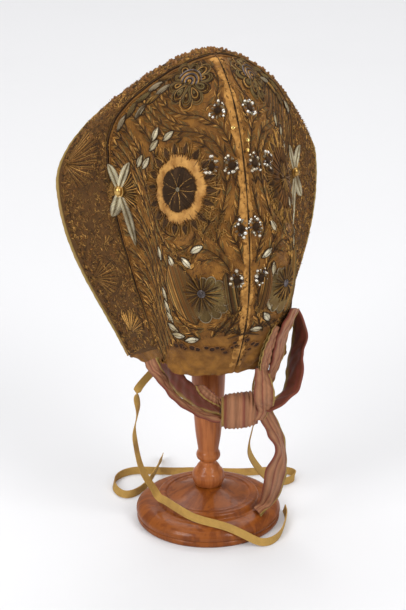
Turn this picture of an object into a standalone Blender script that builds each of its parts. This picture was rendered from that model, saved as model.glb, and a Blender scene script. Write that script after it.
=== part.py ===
"""An embroidered folk bonnet, made of two back halves and a front band, on a turned wooden stand.

Lengths are millimetres until a mesh is made. The stand's axis is the world's Z, and its foot is at z = 0.
The bonnet has its own frame: +Y is the way its wearer would look, and it is turned on the stand by YAW_DEG.
"""

import math

import bpy
import numpy as np

MM = 0.001
GAP = 0.3

# The bonnet
YAW_DEG = 20.0
WALL = 2.0
SEAM_BOW = 0.64
BACK_COLUMNS = 14
HALF_ROWS = 16
BAND_COLUMNS = 7
BINDING_RADIUS = 1.5
BINDING_SIDES = 6
CORNER_REACH = 15.0
CORNER_TIP = 0.79
CORNER_SPREAD = 0.2
BOSS_RADIUS = 4.5
BOSS_HEIGHT = 3.6
BOSS_LIFT = 0.9
BOSSES = (("boss_left", 0.60, -0.53), ("boss_right", 0.68, 0.55))

# The ties, the ribbon and the tapes
RIBBON_THICKNESS = 1.2
RIBBON_SECTIONS = 16
RIBBON_ACROSS = 3
TAPE_DIAMETER = 3.0
TAPE_POINT_SPACING = 9.0

# The stand
FOOT_SIDES = 40
COLUMN_SIDES = 28
HEAD_TOP = 369.7

# The bonnet's outer surface is a fan of bows, one after the other from the nape edge over the crown to the
# face edge. A bow stands in a plane through its two ends and its apex, where "bow" is its place in the fan,
# "wide" its greatest half width, "share" the height share of that place, "lean" how far forward it leans
# there, "crown" how flat the bow's top is and "cheek" how full it stays on the way down to its end.
BOW_COLUMNS = ("bow", "apex_y", "apex_z", "end_x", "end_y", "end_z", "wide", "share", "crown", "cheek", "lean")
BOWS = (
    (0.00, -55, 143, 47, -33, 150, 46, 0.36, 0.70, 0.27, 0),
    (0.15, -80, 199, 47, -32, 150, 46, 0.47, 0.57, 0.36, 11),
    (0.30, -81, 267, 47, -28, 152, 50, 0.59, 0.45, 0.45, 17),
    (0.46, -58, 336, 48, -24, 154, 54, 0.66, 0.36, 0.55, 27),
    (SEAM_BOW, -14, 372, 48, -22, 156, 71, 0.68, 0.27, 0.60, 33),
    (0.82, 19, 365, 53, -8, 149, 87, 0.65, 0.25, 0.53, 18),
    (1.00, 51, 349, 60, 9, 140, 102, 0.62, 0.27, 0.43, 6),
)

# A ribbon is ruled between two long edges, with one row for each fold or turn.
EDGE_COLUMNS = ("near_x", "near_y", "near_z", "far_x", "far_y", "far_z")
RIBBONS = {
    "tie_left_outer": (
        (-46.5, -42.0, 147.0, -36.5, -49.0, 154.6),
        (-44.5, -47.5, 143.5, -34.0, -48.1, 146.6),
        (-38.5, -53.0, 138.5, -31.5, -44.0, 138.5),
        (-31.0, -55.5, 130.0, -28.5, -43.5, 128.5),
        (-23.5, -57.5, 122.5, -21.5, -45.5, 120.5),
        (-13.5, -56.5, 114.0, -11.5, -44.5, 112.5),
        (-3.0, -53.5, 107.0, -1.0, -42.5, 107.0),
        (8.8, -50.0, 102.5, 9.1, -40.0, 103.5),
    ),
    "tie_left_inner": (
        (-37.4, -26.9, 137.6, -29.5, -43.5, 146.5),
        (-31.5, -26.5, 126.0, -21.0, -41.0, 138.5),
        (-23.0, -25.0, 114.0, -12.5, -38.0, 128.0),
        (-9.0, -26.0, 104.0, -2.0, -37.0, 117.5),
        (9.1, -36.0, 101.5, 9.1, -38.2, 111.8),
    ),
    "tie_left_fold": (
        (-11.0, -48.5, 131.5, -4.0, -43.0, 129.5),
        (-6.5, -46.0, 122.0, 2.0, -40.0, 123.0),
        (1.5, -43.5, 114.5, 6.0, -38.0, 118.0),
        (8.8, -43.5, 110.5, 9.1, -38.5, 115.5),
    ),
    "knot_turn": (
        (36.6, -52.4, 144.9, 43.7, -44.6, 140.1),
        (36.5, -55.5, 136.0, 48.0, -50.0, 131.5),
        (37.2, -57.0, 125.5, 49.5, -51.0, 121.5),
        (37.4, -49.5, 112.5, 45.5, -43.0, 110.5),
    ),
    "tie_right_inner": (
        (46.5, -60.1, 185.0, 51.5, -52.6, 179.5),
        (41.5, -60.0, 173.5, 48.0, -53.0, 167.5),
        (37.5, -57.5, 159.5, 45.0, -49.5, 153.5),
        (36.2, -52.0, 145.6, 43.4, -44.4, 140.8),
    ),
    "tie_right_front": (
        (60.5, -47.5, 192.0, 65.5, -34.0, 187.0),
        (55.0, -56.0, 184.5, 61.0, -44.0, 179.0),
        (49.5, -56.0, 172.0, 57.0, -43.0, 167.0),
        (47.5, -52.5, 157.5, 54.5, -40.0, 151.5),
        (47.0, -49.5, 146.0, 51.5, -38.5, 139.5),
        (51.5, -46.5, 135.5, 53.5, -35.5, 129.0),
    ),
    "tie_right_outer": (
        (62.0, -17.0, 173.5, 66.0, -30.0, 184.0),
        (63.0, -14.0, 160.5, 72.5, -29.0, 165.0),
        (61.5, -12.0, 144.5, 70.5, -28.0, 150.5),
        (59.0, -14.0, 132.0, 70.0, -30.0, 142.5),
        (58.0, -19.0, 124.5, 68.5, -35.0, 126.5),
        (55.5, -27.0, 117.5, 61.5, -43.0, 119.5),
        (46.8, -35.0, 113.0, 47.8, -48.0, 111.5),
    ),
    "ribbon_tail": (
        (37.4, -46.0, 105.0, 49.0, -37.0, 104.0),
        (42.5, -48.0, 95.5, 54.0, -35.0, 91.5),
        (47.0, -48.5, 87.0, 57.5, -33.5, 78.5),
        (50.5, -46.0, 77.0, 58.5, -34.0, 63.5),
        (44.0, -43.0, 61.5, 59.5, -33.0, 53.0),
        (42.0, -37.5, 45.0, 57.0, -26.5, 37.0),
        (39.5, -25.0, 25.5, 51.0, -20.0, 20.5),
        (35.0, -22.0, 16.6, 40.5, -32.0, 14.9),
    ),
}

# The knot is wrapped round the ties, with one row for each place along it.
KNOT_COLUMNS = ("x", "y", "z", "half_height", "half_depth")
KNOT = (
    (9.6, -44.0, 108.0, 12.5, 6.5),
    (15.0, -45.0, 109.0, 13.2, 8.0),
    (23.0, -45.5, 110.0, 13.4, 9.0),
    (31.0, -45.0, 111.0, 13.2, 8.5),
    (36.6, -43.5, 111.5, 12.2, 7.0),
)
KNOT_SIDES = 20
KNOT_SQUARENESS = 3.0

# The tapes' middle lines, from the bonnet's corner to the free end. They stand on edge where they lie.
TAPE_LEFT_ROUTE = (
    (-40.4, -28.2, 135.2), (-46.6, -34.0, 130.4), (-52.0, -39.0, 125.0), (-53.5, -41.0, 119.0),
    (-52.5, -41.0, 110.5), (-53.5, -40.0, 101.5), (-55.5, -38.0, 90.5), (-55.0, -35.0, 79.0),
    (-53.5, -31.0, 66.5), (-51.0, -26.0, 53.0), (-47.0, -20.5, 41.0), (-42.5, -15.0, 30.5),
    (-38.5, -14.5, 22.8), (-33.5, -20.5, 22.6), (-27.0, -28.5, 22.2), (-20.0, -35.0, 20.8),
    (-12.5, -40.0, 18.8), (-4.0, -44.5, 17.8), (4.5, -48.0, 17.2), (13.5, -50.5, 15.6),
    (22.5, -52.0, 12.2), (32.0, -52.5, 7.2), (39.0, -52.5, 4.0), (46.0, -50.5, 3.2),
    (53.0, -42.0, 3.2), (57.5, -28.0, 3.2), (60.0, -13.0, 3.2), (60.5, -4.0, 3.2), (59.5, 5.0, 3.2),
)
TAPE_RIGHT_ROUTE = (
    (36.4, -40.2, 144.4), (34.0, -34.0, 132.0), (33.5, -27.5, 119.0), (34.5, -22.5, 105.0),
    (35.0, -17.0, 91.0), (33.5, -9.0, 76.5), (32.0, 0.0, 64.0), (31.5, 8.5, 52.5),
    (34.0, 18.5, 40.0), (39.0, 28.0, 27.5), (46.5, 37.0, 14.5), (55.5, 45.5, 6.0),
    (63.5, 52.0, 3.2), (69.5, 58.5, 3.2), (69.5, 66.5, 3.2), (63.0, 71.0, 3.2),
    (53.5, 71.5, 3.2), (43.5, 70.0, 3.2), (33.5, 68.5, 3.2), (22.5, 68.0, 3.2), (11.0, 68.5, 3.2),
    (-1.0, 69.0, 3.2), (-13.5, 70.0, 3.2), (-25.0, 69.5, 3.2), (-37.0, 70.0, 3.2),
    (-48.5, 71.0, 3.2), (-60.0, 70.5, 3.2), (-69.0, 65.5, 3.2), (-74.5, 56.5, 3.2),
    (-75.5, 44.5, 3.2), (-71.5, 33.0, 3.2), (-65.0, 28.0, 3.2), (-57.5, 32.0, 3.2),
    (-50.0, 41.5, 4.6), (-44.5, 52.0, 8.0), (-41.0, 62.5, 9.8), (-39.5, 72.5, 9.8),
    (-38.5, 83.5, 6.5), (-37.5, 97.5, 3.2),
)

# Turned outlines, from the bottom to the top, as radius and height.
FOOT_OUTLINE = (
    (54.6, 0.0), (55.6, 1.0), (55.6, 3.6), (54.8, 4.2), (56.0, 6.0), (56.0, 8.5), (53.5, 11.8),
    (49.0, 14.2), (43.0, 15.2), (39.6, 15.2), (39.2, 18.6), (37.4, 20.3), (33.6, 20.3), (32.2, 19.0),
    (30.6, 19.2), (22.0, 22.4), (14.0, 25.4), (10.2, 27.2),
)
COLUMN_OUTLINE = (
    (10.4, 27.8), (12.2, 31.0), (12.7, 34.7), (12.0, 38.2), (9.6, 41.0), (8.9, 42.6), (7.6, 44.4),
    (6.1, 46.0), (6.1, 47.8), (8.6, 49.4), (9.5, 52.2), (8.8, 54.8), (7.7, 56.7), (8.8, 63.0),
    (10.2, 73.0), (11.8, 95.0), (12.9, 117.0), (13.6, 150.0), (13.8, 230.0), (13.0, 312.6),
)
HEAD_OUTLINE = (
    (14.0, -56.7), (20.0, -51.0), (25.0, -41.0), (27.0, -29.0), (25.5, -17.5), (19.0, -8.4),
    (11.0, -4.0), (4.5, -1.3),
)

COLOURS = {
    "silk": (0.36, 0.19, 0.075, 1.0),
    "embroidery": (0.19, 0.115, 0.04, 1.0),
    "binding": (0.58, 0.45, 0.22, 1.0),
    "brass": (0.66, 0.45, 0.16, 1.0),
    "ribbon": (0.37, 0.17, 0.13, 1.0),
    "tape": (0.5, 0.31, 0.09, 1.0),
    "wood": (0.32, 0.095, 0.03, 1.0),
}


def clear_scene():
    for obj in list(bpy.data.objects):
        bpy.data.objects.remove(obj, do_unlink=True)


def finish_material(name, roughness, metallic=0.0):
    material = bpy.data.materials.new(name)
    material.use_nodes = True
    shader = material.node_tree.nodes["Principled BSDF"]
    shader.inputs["Base Color"].default_value = COLOURS[name]
    shader.inputs["Roughness"].default_value = roughness
    shader.inputs["Metallic"].default_value = metallic
    return material


def empty(name):
    obj = bpy.data.objects.new(name, None)
    bpy.context.scene.collection.objects.link(obj)
    return obj


def add_solid(name, points, faces, material, parent):
    """A mesh object from points in millimetres, smooth where it is round."""
    mesh = bpy.data.meshes.new(name)
    mesh.from_pydata([tuple(point) for point in np.asarray(points) * MM], [], faces)
    mesh.validate()
    mesh.shade_smooth()
    mesh.set_sharp_from_angle(angle=math.radians(40))
    mesh.materials.append(material)
    obj = bpy.data.objects.new(name, mesh)
    obj.parent = parent
    bpy.context.scene.collection.objects.link(obj)
    return obj


def lofted(rings):
    """Points and faces of a closed body through closed rings of the same length, capped at both ends."""
    sides = len(rings[0])
    points = [point for ring in rings for point in ring]
    faces = []
    for low in range(len(rings) - 1):
        for side in range(sides):
            a, b = low * sides + side, low * sides + (side + 1) % sides
            faces.append((a, b, b + sides, a + sides))
    faces.append(tuple(range(sides - 1, -1, -1)))
    faces.append(tuple(range((len(rings) - 1) * sides, len(rings) * sides)))
    return points, faces


def plate(outer, inner):
    """Points and faces of a wall between two grids of points, with its four rims closed."""
    rows, columns = outer.shape[:2]
    points = np.concatenate([outer.reshape(-1, 3), inner.reshape(-1, 3)])
    behind = rows * columns
    faces = []
    for row in range(rows - 1):
        for column in range(columns - 1):
            a = row * columns + column
            b, c, d = a + 1, a + columns + 1, a + columns
            faces.append((a, b, c, d))
            faces.append((behind + a, behind + d, behind + c, behind + b))
    rim = list(range(columns))
    rim += [row * columns + columns - 1 for row in range(1, rows)]
    rim += [(rows - 1) * columns + column for column in range(columns - 2, -1, -1)]
    rim += [row * columns for row in range(rows - 2, 0, -1)]
    for a, b in zip(rim, rim[1:] + rim[:1]):
        faces.append((b, a, behind + a, behind + b))
    return points, faces


def turned(outline, sides):
    """Rings of a turned body, with its outline given as radius and height."""
    turns = [2 * math.pi * side / sides for side in range(sides)]
    return [[(r * math.cos(t), r * math.sin(t), z) for t in turns] for r, z in outline]


def spline(stations, values, at):
    """Natural cubic spline through values at the stations, read at other places."""
    stations = np.asarray(stations, float)
    values = np.asarray(values, float)
    last = len(stations) - 1
    steps = np.diff(stations)
    system = np.eye(last + 1)
    bends = np.zeros_like(values)
    for i in range(1, last):
        system[i, i - 1:i + 2] = steps[i - 1], 2 * (steps[i - 1] + steps[i]), steps[i]
        bends[i] = 6 * ((values[i + 1] - values[i]) / steps[i] - (values[i] - values[i - 1]) / steps[i - 1])
    bends = np.tensordot(np.linalg.inv(system), bends, axes=1)
    at = np.asarray(at, float)
    i = np.clip(np.searchsorted(stations, at, side="right") - 1, 0, last - 1)
    shape = (-1,) + (1,) * (values.ndim - 1)
    step = steps[i].reshape(shape)
    before = (stations[i + 1] - at).reshape(shape)
    after = (at - stations[i]).reshape(shape)
    curve = (bends[i] * before**3 + bends[i + 1] * after**3) / (6 * step)
    curve += (values[i] / step - bends[i] * step / 6) * before
    return curve + (values[i + 1] / step - bends[i + 1] * step / 6) * after


def bezier(start, first, second, end, count=24):
    t = np.linspace(0, 1, count)[:, None]
    return (1 - t)**3 * start + 3 * (1 - t)**2 * t * first + 3 * (1 - t) * t * t * second + t**3 * end


def evenly(points, count):
    """The same line with its points spaced evenly along it."""
    points = np.asarray(points, float)
    along = np.concatenate([[0], np.cumsum(np.linalg.norm(np.diff(points, axis=0), axis=1))])
    places = np.linspace(0, along[-1], count)
    return np.stack([np.interp(places, along, points[:, axis]) for axis in range(3)], axis=1)


def smooth_line(route, spacing):
    """Evenly spaced points on a smooth curve through a route's own points."""
    fine = spline(range(len(route)), route, np.linspace(0, len(route) - 1, 12 * len(route)))
    length = np.linalg.norm(np.diff(fine, axis=0), axis=1).sum()
    return evenly(fine, round(length / spacing) + 1)


def bow_line(values, count):
    """One bow from its apex down to its right end, evenly spaced."""
    bow = dict(zip(BOW_COLUMNS, values))
    foot = np.array([0, bow["end_y"], bow["end_z"]])
    rise = np.array([0, bow["apex_y"], bow["apex_z"]]) - foot

    def at(x, height, forward=0.0):
        return foot + rise * height + np.array([x, forward, 0])

    wide, share, lean = bow["wide"], bow["share"], bow["lean"]
    widest = at(wide, share, lean)
    top = bezier(at(0, 1), at(bow["crown"] * wide, 1), at(wide, (1 + share) / 2, lean), widest)
    cheek = at(bow["end_x"] + (wide - bow["end_x"]) * bow["cheek"], share * 0.35)
    down = bezier(widest, at(wide, share * 0.6, lean), cheek, at(bow["end_x"], 0))
    return evenly(np.concatenate([top, down[1:]]), count)


def bonnet_surface(bows):
    """Points of the outer surface in the bonnet's frame: a row for each bow, from its left end to its right."""
    lines = np.stack([bow_line(values, HALF_ROWS + 1) for values in BOWS])
    right = spline([values[0] for values in BOWS], lines, bows)
    left = right[:, :0:-1] * np.array([-1, 1, 1])
    return np.concatenate([left, right], axis=1)


def outward(grid):
    """Unit normals of a grid of points, which point away from the bonnet's inside."""
    along = np.gradient(grid, axis=0)
    across = np.gradient(grid, axis=1)
    normals = np.cross(across, along)
    return normals / np.linalg.norm(normals, axis=2, keepdims=True)


def pulled_back(grid, edge, inside, distance):
    """Moves one line of a grid towards the line inside it."""
    step = grid[inside] - grid[edge]
    grid[edge] += distance * step / np.linalg.norm(step, axis=-1, keepdims=True)


def bonnet_pieces(materials, bonnet):
    """The two back halves, the front band, its binding, the plain corners and the brass bosses."""
    back_bows = np.linspace(0, SEAM_BOW, BACK_COLUMNS + 1)
    band_bows = np.linspace(SEAM_BOW, 1, BAND_COLUMNS + 1)
    surface = bonnet_surface(np.concatenate([back_bows, band_bows[1:]]))
    inward = -WALL * outward(surface)

    def wall(name, rows, columns, material, edges):
        outer, depth = surface[rows, columns].copy(), inward[rows, columns]
        for edge, inside in edges:
            pulled_back(outer, edge, inside, GAP / 2)
        add_solid(name, *plate(outer, outer + depth), material, bonnet)

    back = slice(0, BACK_COLUMNS + 1)
    band = slice(BACK_COLUMNS, None)
    seam, centre = (-1, -2), ((slice(None), -1), (slice(None), -2))
    centre_mirrored = ((slice(None), 0), (slice(None), 1))
    wall("back_left", back, slice(0, HALF_ROWS + 1), materials["silk"], (centre, seam))
    wall("back_right", back, slice(HALF_ROWS, None), materials["silk"], (centre_mirrored, seam))
    wall("front_band", band, slice(None), materials["embroidery"], ((0, 1),))
    face_binding(surface, inward, materials["binding"], bonnet)
    for side, name in ((0, "corner_left"), (-1, "corner_right")):
        corner_flap(name, surface[band, side], surface[band, 1 if side == 0 else -2], inward[band, side],
                    side == 0, materials["silk"], bonnet)
    for name, bow, along in BOSSES:
        boss(name, bow, along, materials["brass"], bonnet)


def face_binding(surface, inward, material, bonnet):
    """A round roll along the face edge, just beyond it."""
    middle = surface[-1] + inward[-1] / 2
    beyond = surface[-1] - surface[-2]
    beyond /= np.linalg.norm(beyond, axis=1, keepdims=True)
    out = -inward[-1] / WALL
    centre = middle + (BINDING_RADIUS + GAP) * beyond
    rings = []
    for place, forward, up in zip(centre, beyond, out):
        turns = [2 * math.pi * side / BINDING_SIDES for side in range(BINDING_SIDES)]
        rings.append([place + BINDING_RADIUS * (math.cos(t) * forward + math.sin(t) * up) for t in turns])
    add_solid("face_binding", *lofted(rings), material, bonnet)


def corner_flap(name, end, before, inward, is_left, material, bonnet):
    """Plain silk below the band's end, which runs out to a blunt tip where the ties are sewn on."""
    reach = (end - before) / np.linalg.norm(end - before, axis=1, keepdims=True)
    bows = np.linspace(SEAM_BOW, 1, len(end))
    tip = np.clip(1 - np.abs(bows - CORNER_TIP) / CORNER_SPREAD, 0.12, 1)[:, None]
    lines = [end + reach * (GAP + CORNER_REACH * tip * share) for share in (0, 0.5, 1)]
    outer = np.stack(lines[::-1] if is_left else lines, axis=1)
    add_solid(name, *plate(outer, outer + inward[:, None, :]), material, bonnet)


def boss(name, bow, along, material, bonnet):
    """A small brass dome on the side seam."""
    patch = bonnet_surface([bow - 0.01, bow, bow + 0.01])
    normals = outward(patch)
    columns = np.linspace(-1, 1, 2 * HALF_ROWS + 1)
    middle = np.array([np.interp(along, columns, patch[1, :, axis]) for axis in range(3)])
    up = np.array([np.interp(along, columns, normals[1, :, axis]) for axis in range(3)])
    up /= np.linalg.norm(up)
    side = np.cross(up, [0, 0, 1])
    side /= np.linalg.norm(side)
    other = np.cross(up, side)
    profile = ((BOSS_RADIUS, 0), (BOSS_RADIUS, 0.8), (0.72 * BOSS_RADIUS, 1.0),
               (0.6 * BOSS_RADIUS, 0.7 * BOSS_HEIGHT), (0.3 * BOSS_RADIUS, BOSS_HEIGHT))
    rings = [[middle + x * side + y * other + (z + BOSS_LIFT) * up for x, y, z in ring]
             for ring in turned(profile, 12)]
    add_solid(name, *lofted(rings), material, bonnet)


def ribbon(name, rows, material):
    """A strip of silk ruled between its two edges."""
    stations = np.linspace(0, len(rows) - 1, RIBBON_SECTIONS)
    edges = spline(range(len(rows)), rows, stations)
    near, far = edges[:, :3], edges[:, 3:]
    along = np.gradient((near + far) / 2, axis=0)
    across = far - near
    out = np.cross(along, across)
    out *= RIBBON_THICKNESS / 2 / np.linalg.norm(out, axis=1, keepdims=True)
    rings = []
    for start, width, half in zip(near, across, out):
        line = [start + width * step / RIBBON_ACROSS for step in range(RIBBON_ACROSS + 1)]
        rings.append([point - half for point in line] + [point + half for point in line[::-1]])
    add_solid(name, *lofted(rings), material, None)


def knot(material):
    rings = []
    for values in KNOT:
        row = dict(zip(KNOT_COLUMNS, values))
        ring = []
        for side in range(KNOT_SIDES):
            turn = 2 * math.pi * side / KNOT_SIDES
            cos, sin = math.cos(turn), math.sin(turn)
            size = (abs(cos) ** KNOT_SQUARENESS + abs(sin) ** KNOT_SQUARENESS) ** (-1 / KNOT_SQUARENESS)
            ring.append((row["x"], row["y"] + row["half_depth"] * size * cos,
                         row["z"] + row["half_height"] * size * sin))
        rings.append(ring)
    add_solid("knot", *lofted(rings), material, None)


def tape(name, route, material):
    """A free tape as a round tube, on points read from a smooth curve through its route."""
    points = smooth_line(route, TAPE_POINT_SPACING) * MM
    curve = bpy.data.curves.new(name, "CURVE")
    curve.dimensions = "3D"
    curve.bevel_depth = TAPE_DIAMETER / 2 * MM
    curve.bevel_resolution = 2
    curve.use_fill_caps = True
    line = curve.splines.new("POLY")
    line.points.add(len(points) - 1)
    for point, place in zip(line.points, points):
        point.co = (*place, 1.0)
    curve.materials.append(material)
    bpy.context.scene.collection.objects.link(bpy.data.objects.new(name, curve))


def stand(material):
    """The foot, the column that stands on it, and the plain round head inside the crown."""
    head = [(radius, HEAD_TOP + below) for radius, below in HEAD_OUTLINE]
    assert FOOT_OUTLINE[-1][1] + GAP <= COLUMN_OUTLINE[0][1]
    assert COLUMN_OUTLINE[-1][1] + GAP <= head[0][1]
    add_solid("stand_foot", *lofted(turned(FOOT_OUTLINE, FOOT_SIDES)), material, None)
    add_solid("stand_column", *lofted(turned(COLUMN_OUTLINE, COLUMN_SIDES)), material, None)
    add_solid("stand_head", *lofted(turned(head, COLUMN_SIDES)), material, None)


def main():
    clear_scene()
    materials = {
        "silk": finish_material("silk", 0.6),
        "embroidery": finish_material("embroidery", 0.5, 0.4),
        "binding": finish_material("binding", 0.8),
        "brass": finish_material("brass", 0.35, 0.9),
        "ribbon": finish_material("ribbon", 0.55),
        "tape": finish_material("tape", 0.75),
        "wood": finish_material("wood", 0.25),
    }
    bonnet = empty("bonnet")
    bonnet.rotation_euler[2] = math.radians(YAW_DEG)
    stand(materials["wood"])
    bonnet_pieces(materials, bonnet)
    for name, rows in RIBBONS.items():
        ribbon(name, rows, materials["ribbon"])
    knot(materials["ribbon"])
    tape("tape_left", TAPE_LEFT_ROUTE, materials["tape"])
    tape("tape_right", TAPE_RIGHT_ROUTE, materials["tape"])


main()
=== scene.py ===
"""An embroidered folk bonnet with silk ribbon ties on a turned wooden stand, dressed for a studio picture.

Lengths are millimetres until a mesh is made. The stand's axis is the world's Z, and its foot is at z = 0.
The bonnet's outer surface is a fan of bows from the nape over the crown to the face edge, and a place on it
is given as its bow (0 at the nape, 1 at the face edge) and how far along that bow it is (-1 at the left end,
0 on the centre seam, 1 at the right end). Embroidery is drawn flat in millimetres and laid on that surface.
"""

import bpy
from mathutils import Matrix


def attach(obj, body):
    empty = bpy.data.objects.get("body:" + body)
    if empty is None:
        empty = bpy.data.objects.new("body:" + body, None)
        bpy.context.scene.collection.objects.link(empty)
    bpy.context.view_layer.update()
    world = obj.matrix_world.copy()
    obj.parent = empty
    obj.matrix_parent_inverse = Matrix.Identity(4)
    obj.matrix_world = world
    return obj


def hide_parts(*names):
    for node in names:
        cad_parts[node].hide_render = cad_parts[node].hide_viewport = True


bl_info = {
    "name": "Embroidered bonnet",
    "version": (1, 0, 0),
    "blender": (4, 5, 0),
    "location": "View3D > Sidebar > Bonnet",
    "description": "Sews an embroidered folk bonnet with its ribbon ties and sets it on a turned stand",
    "category": "Object",
}

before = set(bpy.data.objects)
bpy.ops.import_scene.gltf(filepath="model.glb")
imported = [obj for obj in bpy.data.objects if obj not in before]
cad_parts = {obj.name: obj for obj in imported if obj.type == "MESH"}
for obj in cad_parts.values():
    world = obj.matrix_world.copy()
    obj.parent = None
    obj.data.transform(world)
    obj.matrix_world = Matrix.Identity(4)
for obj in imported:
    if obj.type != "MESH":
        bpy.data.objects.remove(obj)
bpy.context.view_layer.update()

import math

import bpy
import numpy as np
from bpy.props import FloatProperty, FloatVectorProperty, IntProperty, PointerProperty
from mathutils import Vector

MM = 0.001

# The bonnet, with the same bows as its solids
YAW_DEG = 20.0
WALL = 2.0
SEAM_BOW = 0.64
BINDING_RADIUS = 1.5
CORNER_REACH = 15.0
CORNER_TIP = 0.79
CORNER_SPREAD = 0.2
GAP = 0.3
CHART_BOWS = 240
CHART_HALF = 240
# In bows: half the slit between the cloths at the side seam, and how far behind it the corners begin
SEAM_SLIT = 0.0008
CORNER_BACK = 0.13
BOW_COLUMNS = (
    "bow", "apex_y", "apex_z", "end_x", "end_y", "end_z", "wide", "share", "crown", "cheek", "lean",
)
BOWS = (
    (0.00, -55, 143, 47, -33, 150, 46, 0.36, 0.70, 0.27, 0),
    (0.15, -80, 199, 47, -32, 150, 46, 0.47, 0.57, 0.36, 11),
    (0.30, -81, 267, 47, -28, 152, 50, 0.59, 0.45, 0.45, 17),
    (0.46, -58, 336, 48, -24, 154, 54, 0.66, 0.36, 0.55, 27),
    (SEAM_BOW, -14, 372, 48, -22, 156, 71, 0.68, 0.27, 0.60, 33),
    (0.82, 19, 365, 53, -8, 149, 87, 0.65, 0.25, 0.53, 18),
    (1.00, 51, 349, 60, 9, 140, 102, 0.62, 0.27, 0.43, 6),
)

# A ribbon is ruled between two long edges and folded lengthwise: 1 folds at its far edge, -1 at the near one
RIBBON_WIDTH = 26.0
RIBBON_CLOTH = 0.45
RIBBON_COLUMNS = 13
FOLD_COLUMNS = 5
RIBBONS = {
    "tie_left_outer": (-1, (
        (-46.5, -42.0, 147.0, -36.5, -49.0, 154.6),
        (-44.5, -47.5, 143.5, -34.0, -48.1, 146.6),
        (-38.5, -53.0, 138.5, -31.5, -44.0, 138.5),
        (-31.0, -55.5, 130.0, -28.5, -43.5, 128.5),
        (-23.5, -57.5, 122.5, -21.5, -45.5, 120.5),
        (-13.5, -56.5, 114.0, -11.5, -44.5, 112.5),
        (-3.0, -53.5, 107.0, -1.0, -42.5, 107.0),
        (8.8, -50.0, 102.5, 9.1, -40.0, 103.5),
    )),
    "tie_left_inner": (1, (
        (-38.6, -27.0, 140.4, -31.6, -44.0, 149.4),
        (-31.5, -26.5, 126.0, -21.0, -41.0, 138.5),
        (-23.0, -25.0, 114.0, -12.5, -38.0, 128.0),
        (-9.0, -26.0, 104.0, -2.0, -37.0, 117.5),
        (9.1, -36.0, 101.5, 9.1, -38.2, 111.8),
    )),
    "tie_left_fold": (1, (
        (-11.0, -48.5, 131.5, -4.0, -43.0, 129.5),
        (-6.5, -46.0, 122.0, 2.0, -40.0, 123.0),
        (1.5, -43.5, 114.5, 6.0, -38.0, 118.0),
        (8.8, -43.5, 110.5, 9.1, -38.5, 115.5),
    )),
    "knot_turn": (-1, (
        (34.6, -52.4, 146.9, 43.7, -44.6, 142.1),
        (34.0, -55.5, 136.0, 48.0, -50.0, 131.5),
        (33.5, -57.0, 124.5, 49.5, -51.0, 121.5),
        (36.0, -50.5, 112.5, 47.0, -44.0, 112.0),
        (33.0, -52.0, 104.5, 41.5, -45.0, 103.5),
    )),
    "tie_right_inner": (1, (
        (46.5, -60.1, 185.0, 51.5, -52.6, 179.5),
        (41.5, -60.0, 173.5, 48.0, -53.0, 167.5),
        (37.5, -57.5, 159.5, 45.0, -49.5, 153.5),
        (36.2, -52.0, 145.6, 43.4, -44.4, 140.8),
    )),
    "tie_right_front": (-1, (
        (60.5, -47.5, 192.0, 65.5, -34.0, 187.0),
        (55.0, -56.0, 184.5, 61.0, -44.0, 179.0),
        (49.5, -56.0, 172.0, 57.0, -43.0, 167.0),
        (47.5, -52.5, 157.5, 54.5, -40.0, 151.5),
        (45.0, -48.5, 146.0, 51.0, -38.5, 140.5),
        (42.0, -46.5, 136.5, 48.0, -36.5, 130.0),
        (39.0, -44.5, 127.0, 45.0, -35.5, 121.0),
    )),
    "tie_right_outer": (1, (
        (62.0, -17.0, 173.5, 66.0, -30.0, 184.0),
        (63.0, -14.0, 160.5, 72.5, -29.0, 165.0),
        (61.5, -12.0, 144.5, 70.5, -28.0, 150.5),
        (59.0, -14.0, 132.0, 70.0, -30.0, 142.5),
        (58.0, -19.0, 124.5, 68.5, -35.0, 126.5),
        (55.5, -27.0, 117.5, 61.5, -43.0, 119.5),
        (48.5, -35.0, 115.0, 49.5, -48.0, 112.5),
        (42.0, -38.0, 115.0, 43.0, -48.0, 110.5),
    )),
    "ribbon_tail": (-1, (
        (36.0, -46.5, 112.0, 47.0, -38.0, 112.0),
        (37.4, -46.0, 105.0, 49.0, -37.0, 104.0),
        (42.5, -48.0, 95.5, 54.0, -35.0, 91.5),
        (47.0, -48.5, 87.0, 57.5, -33.5, 78.5),
        (50.5, -46.0, 77.0, 58.5, -34.0, 63.5),
        (44.0, -43.0, 61.5, 59.5, -33.0, 53.0),
        (42.0, -37.5, 45.0, 57.0, -26.5, 37.0),
        (39.5, -25.0, 25.5, 51.0, -20.0, 20.5),
        (35.0, -22.0, 16.6, 40.5, -32.0, 14.9),
    )),
}

# The knot's rows: middle, half height and half depth at each place along it
KNOT = (
    (9.6, -44.0, 108.0, 12.5, 6.5),
    (15.0, -45.0, 109.0, 13.2, 8.0),
    (23.0, -45.5, 110.0, 13.4, 9.0),
    (31.0, -45.0, 111.0, 13.2, 8.5),
    (36.6, -43.5, 111.5, 12.2, 7.0),
)
KNOT_SQUARENESS = 3.0

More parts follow.
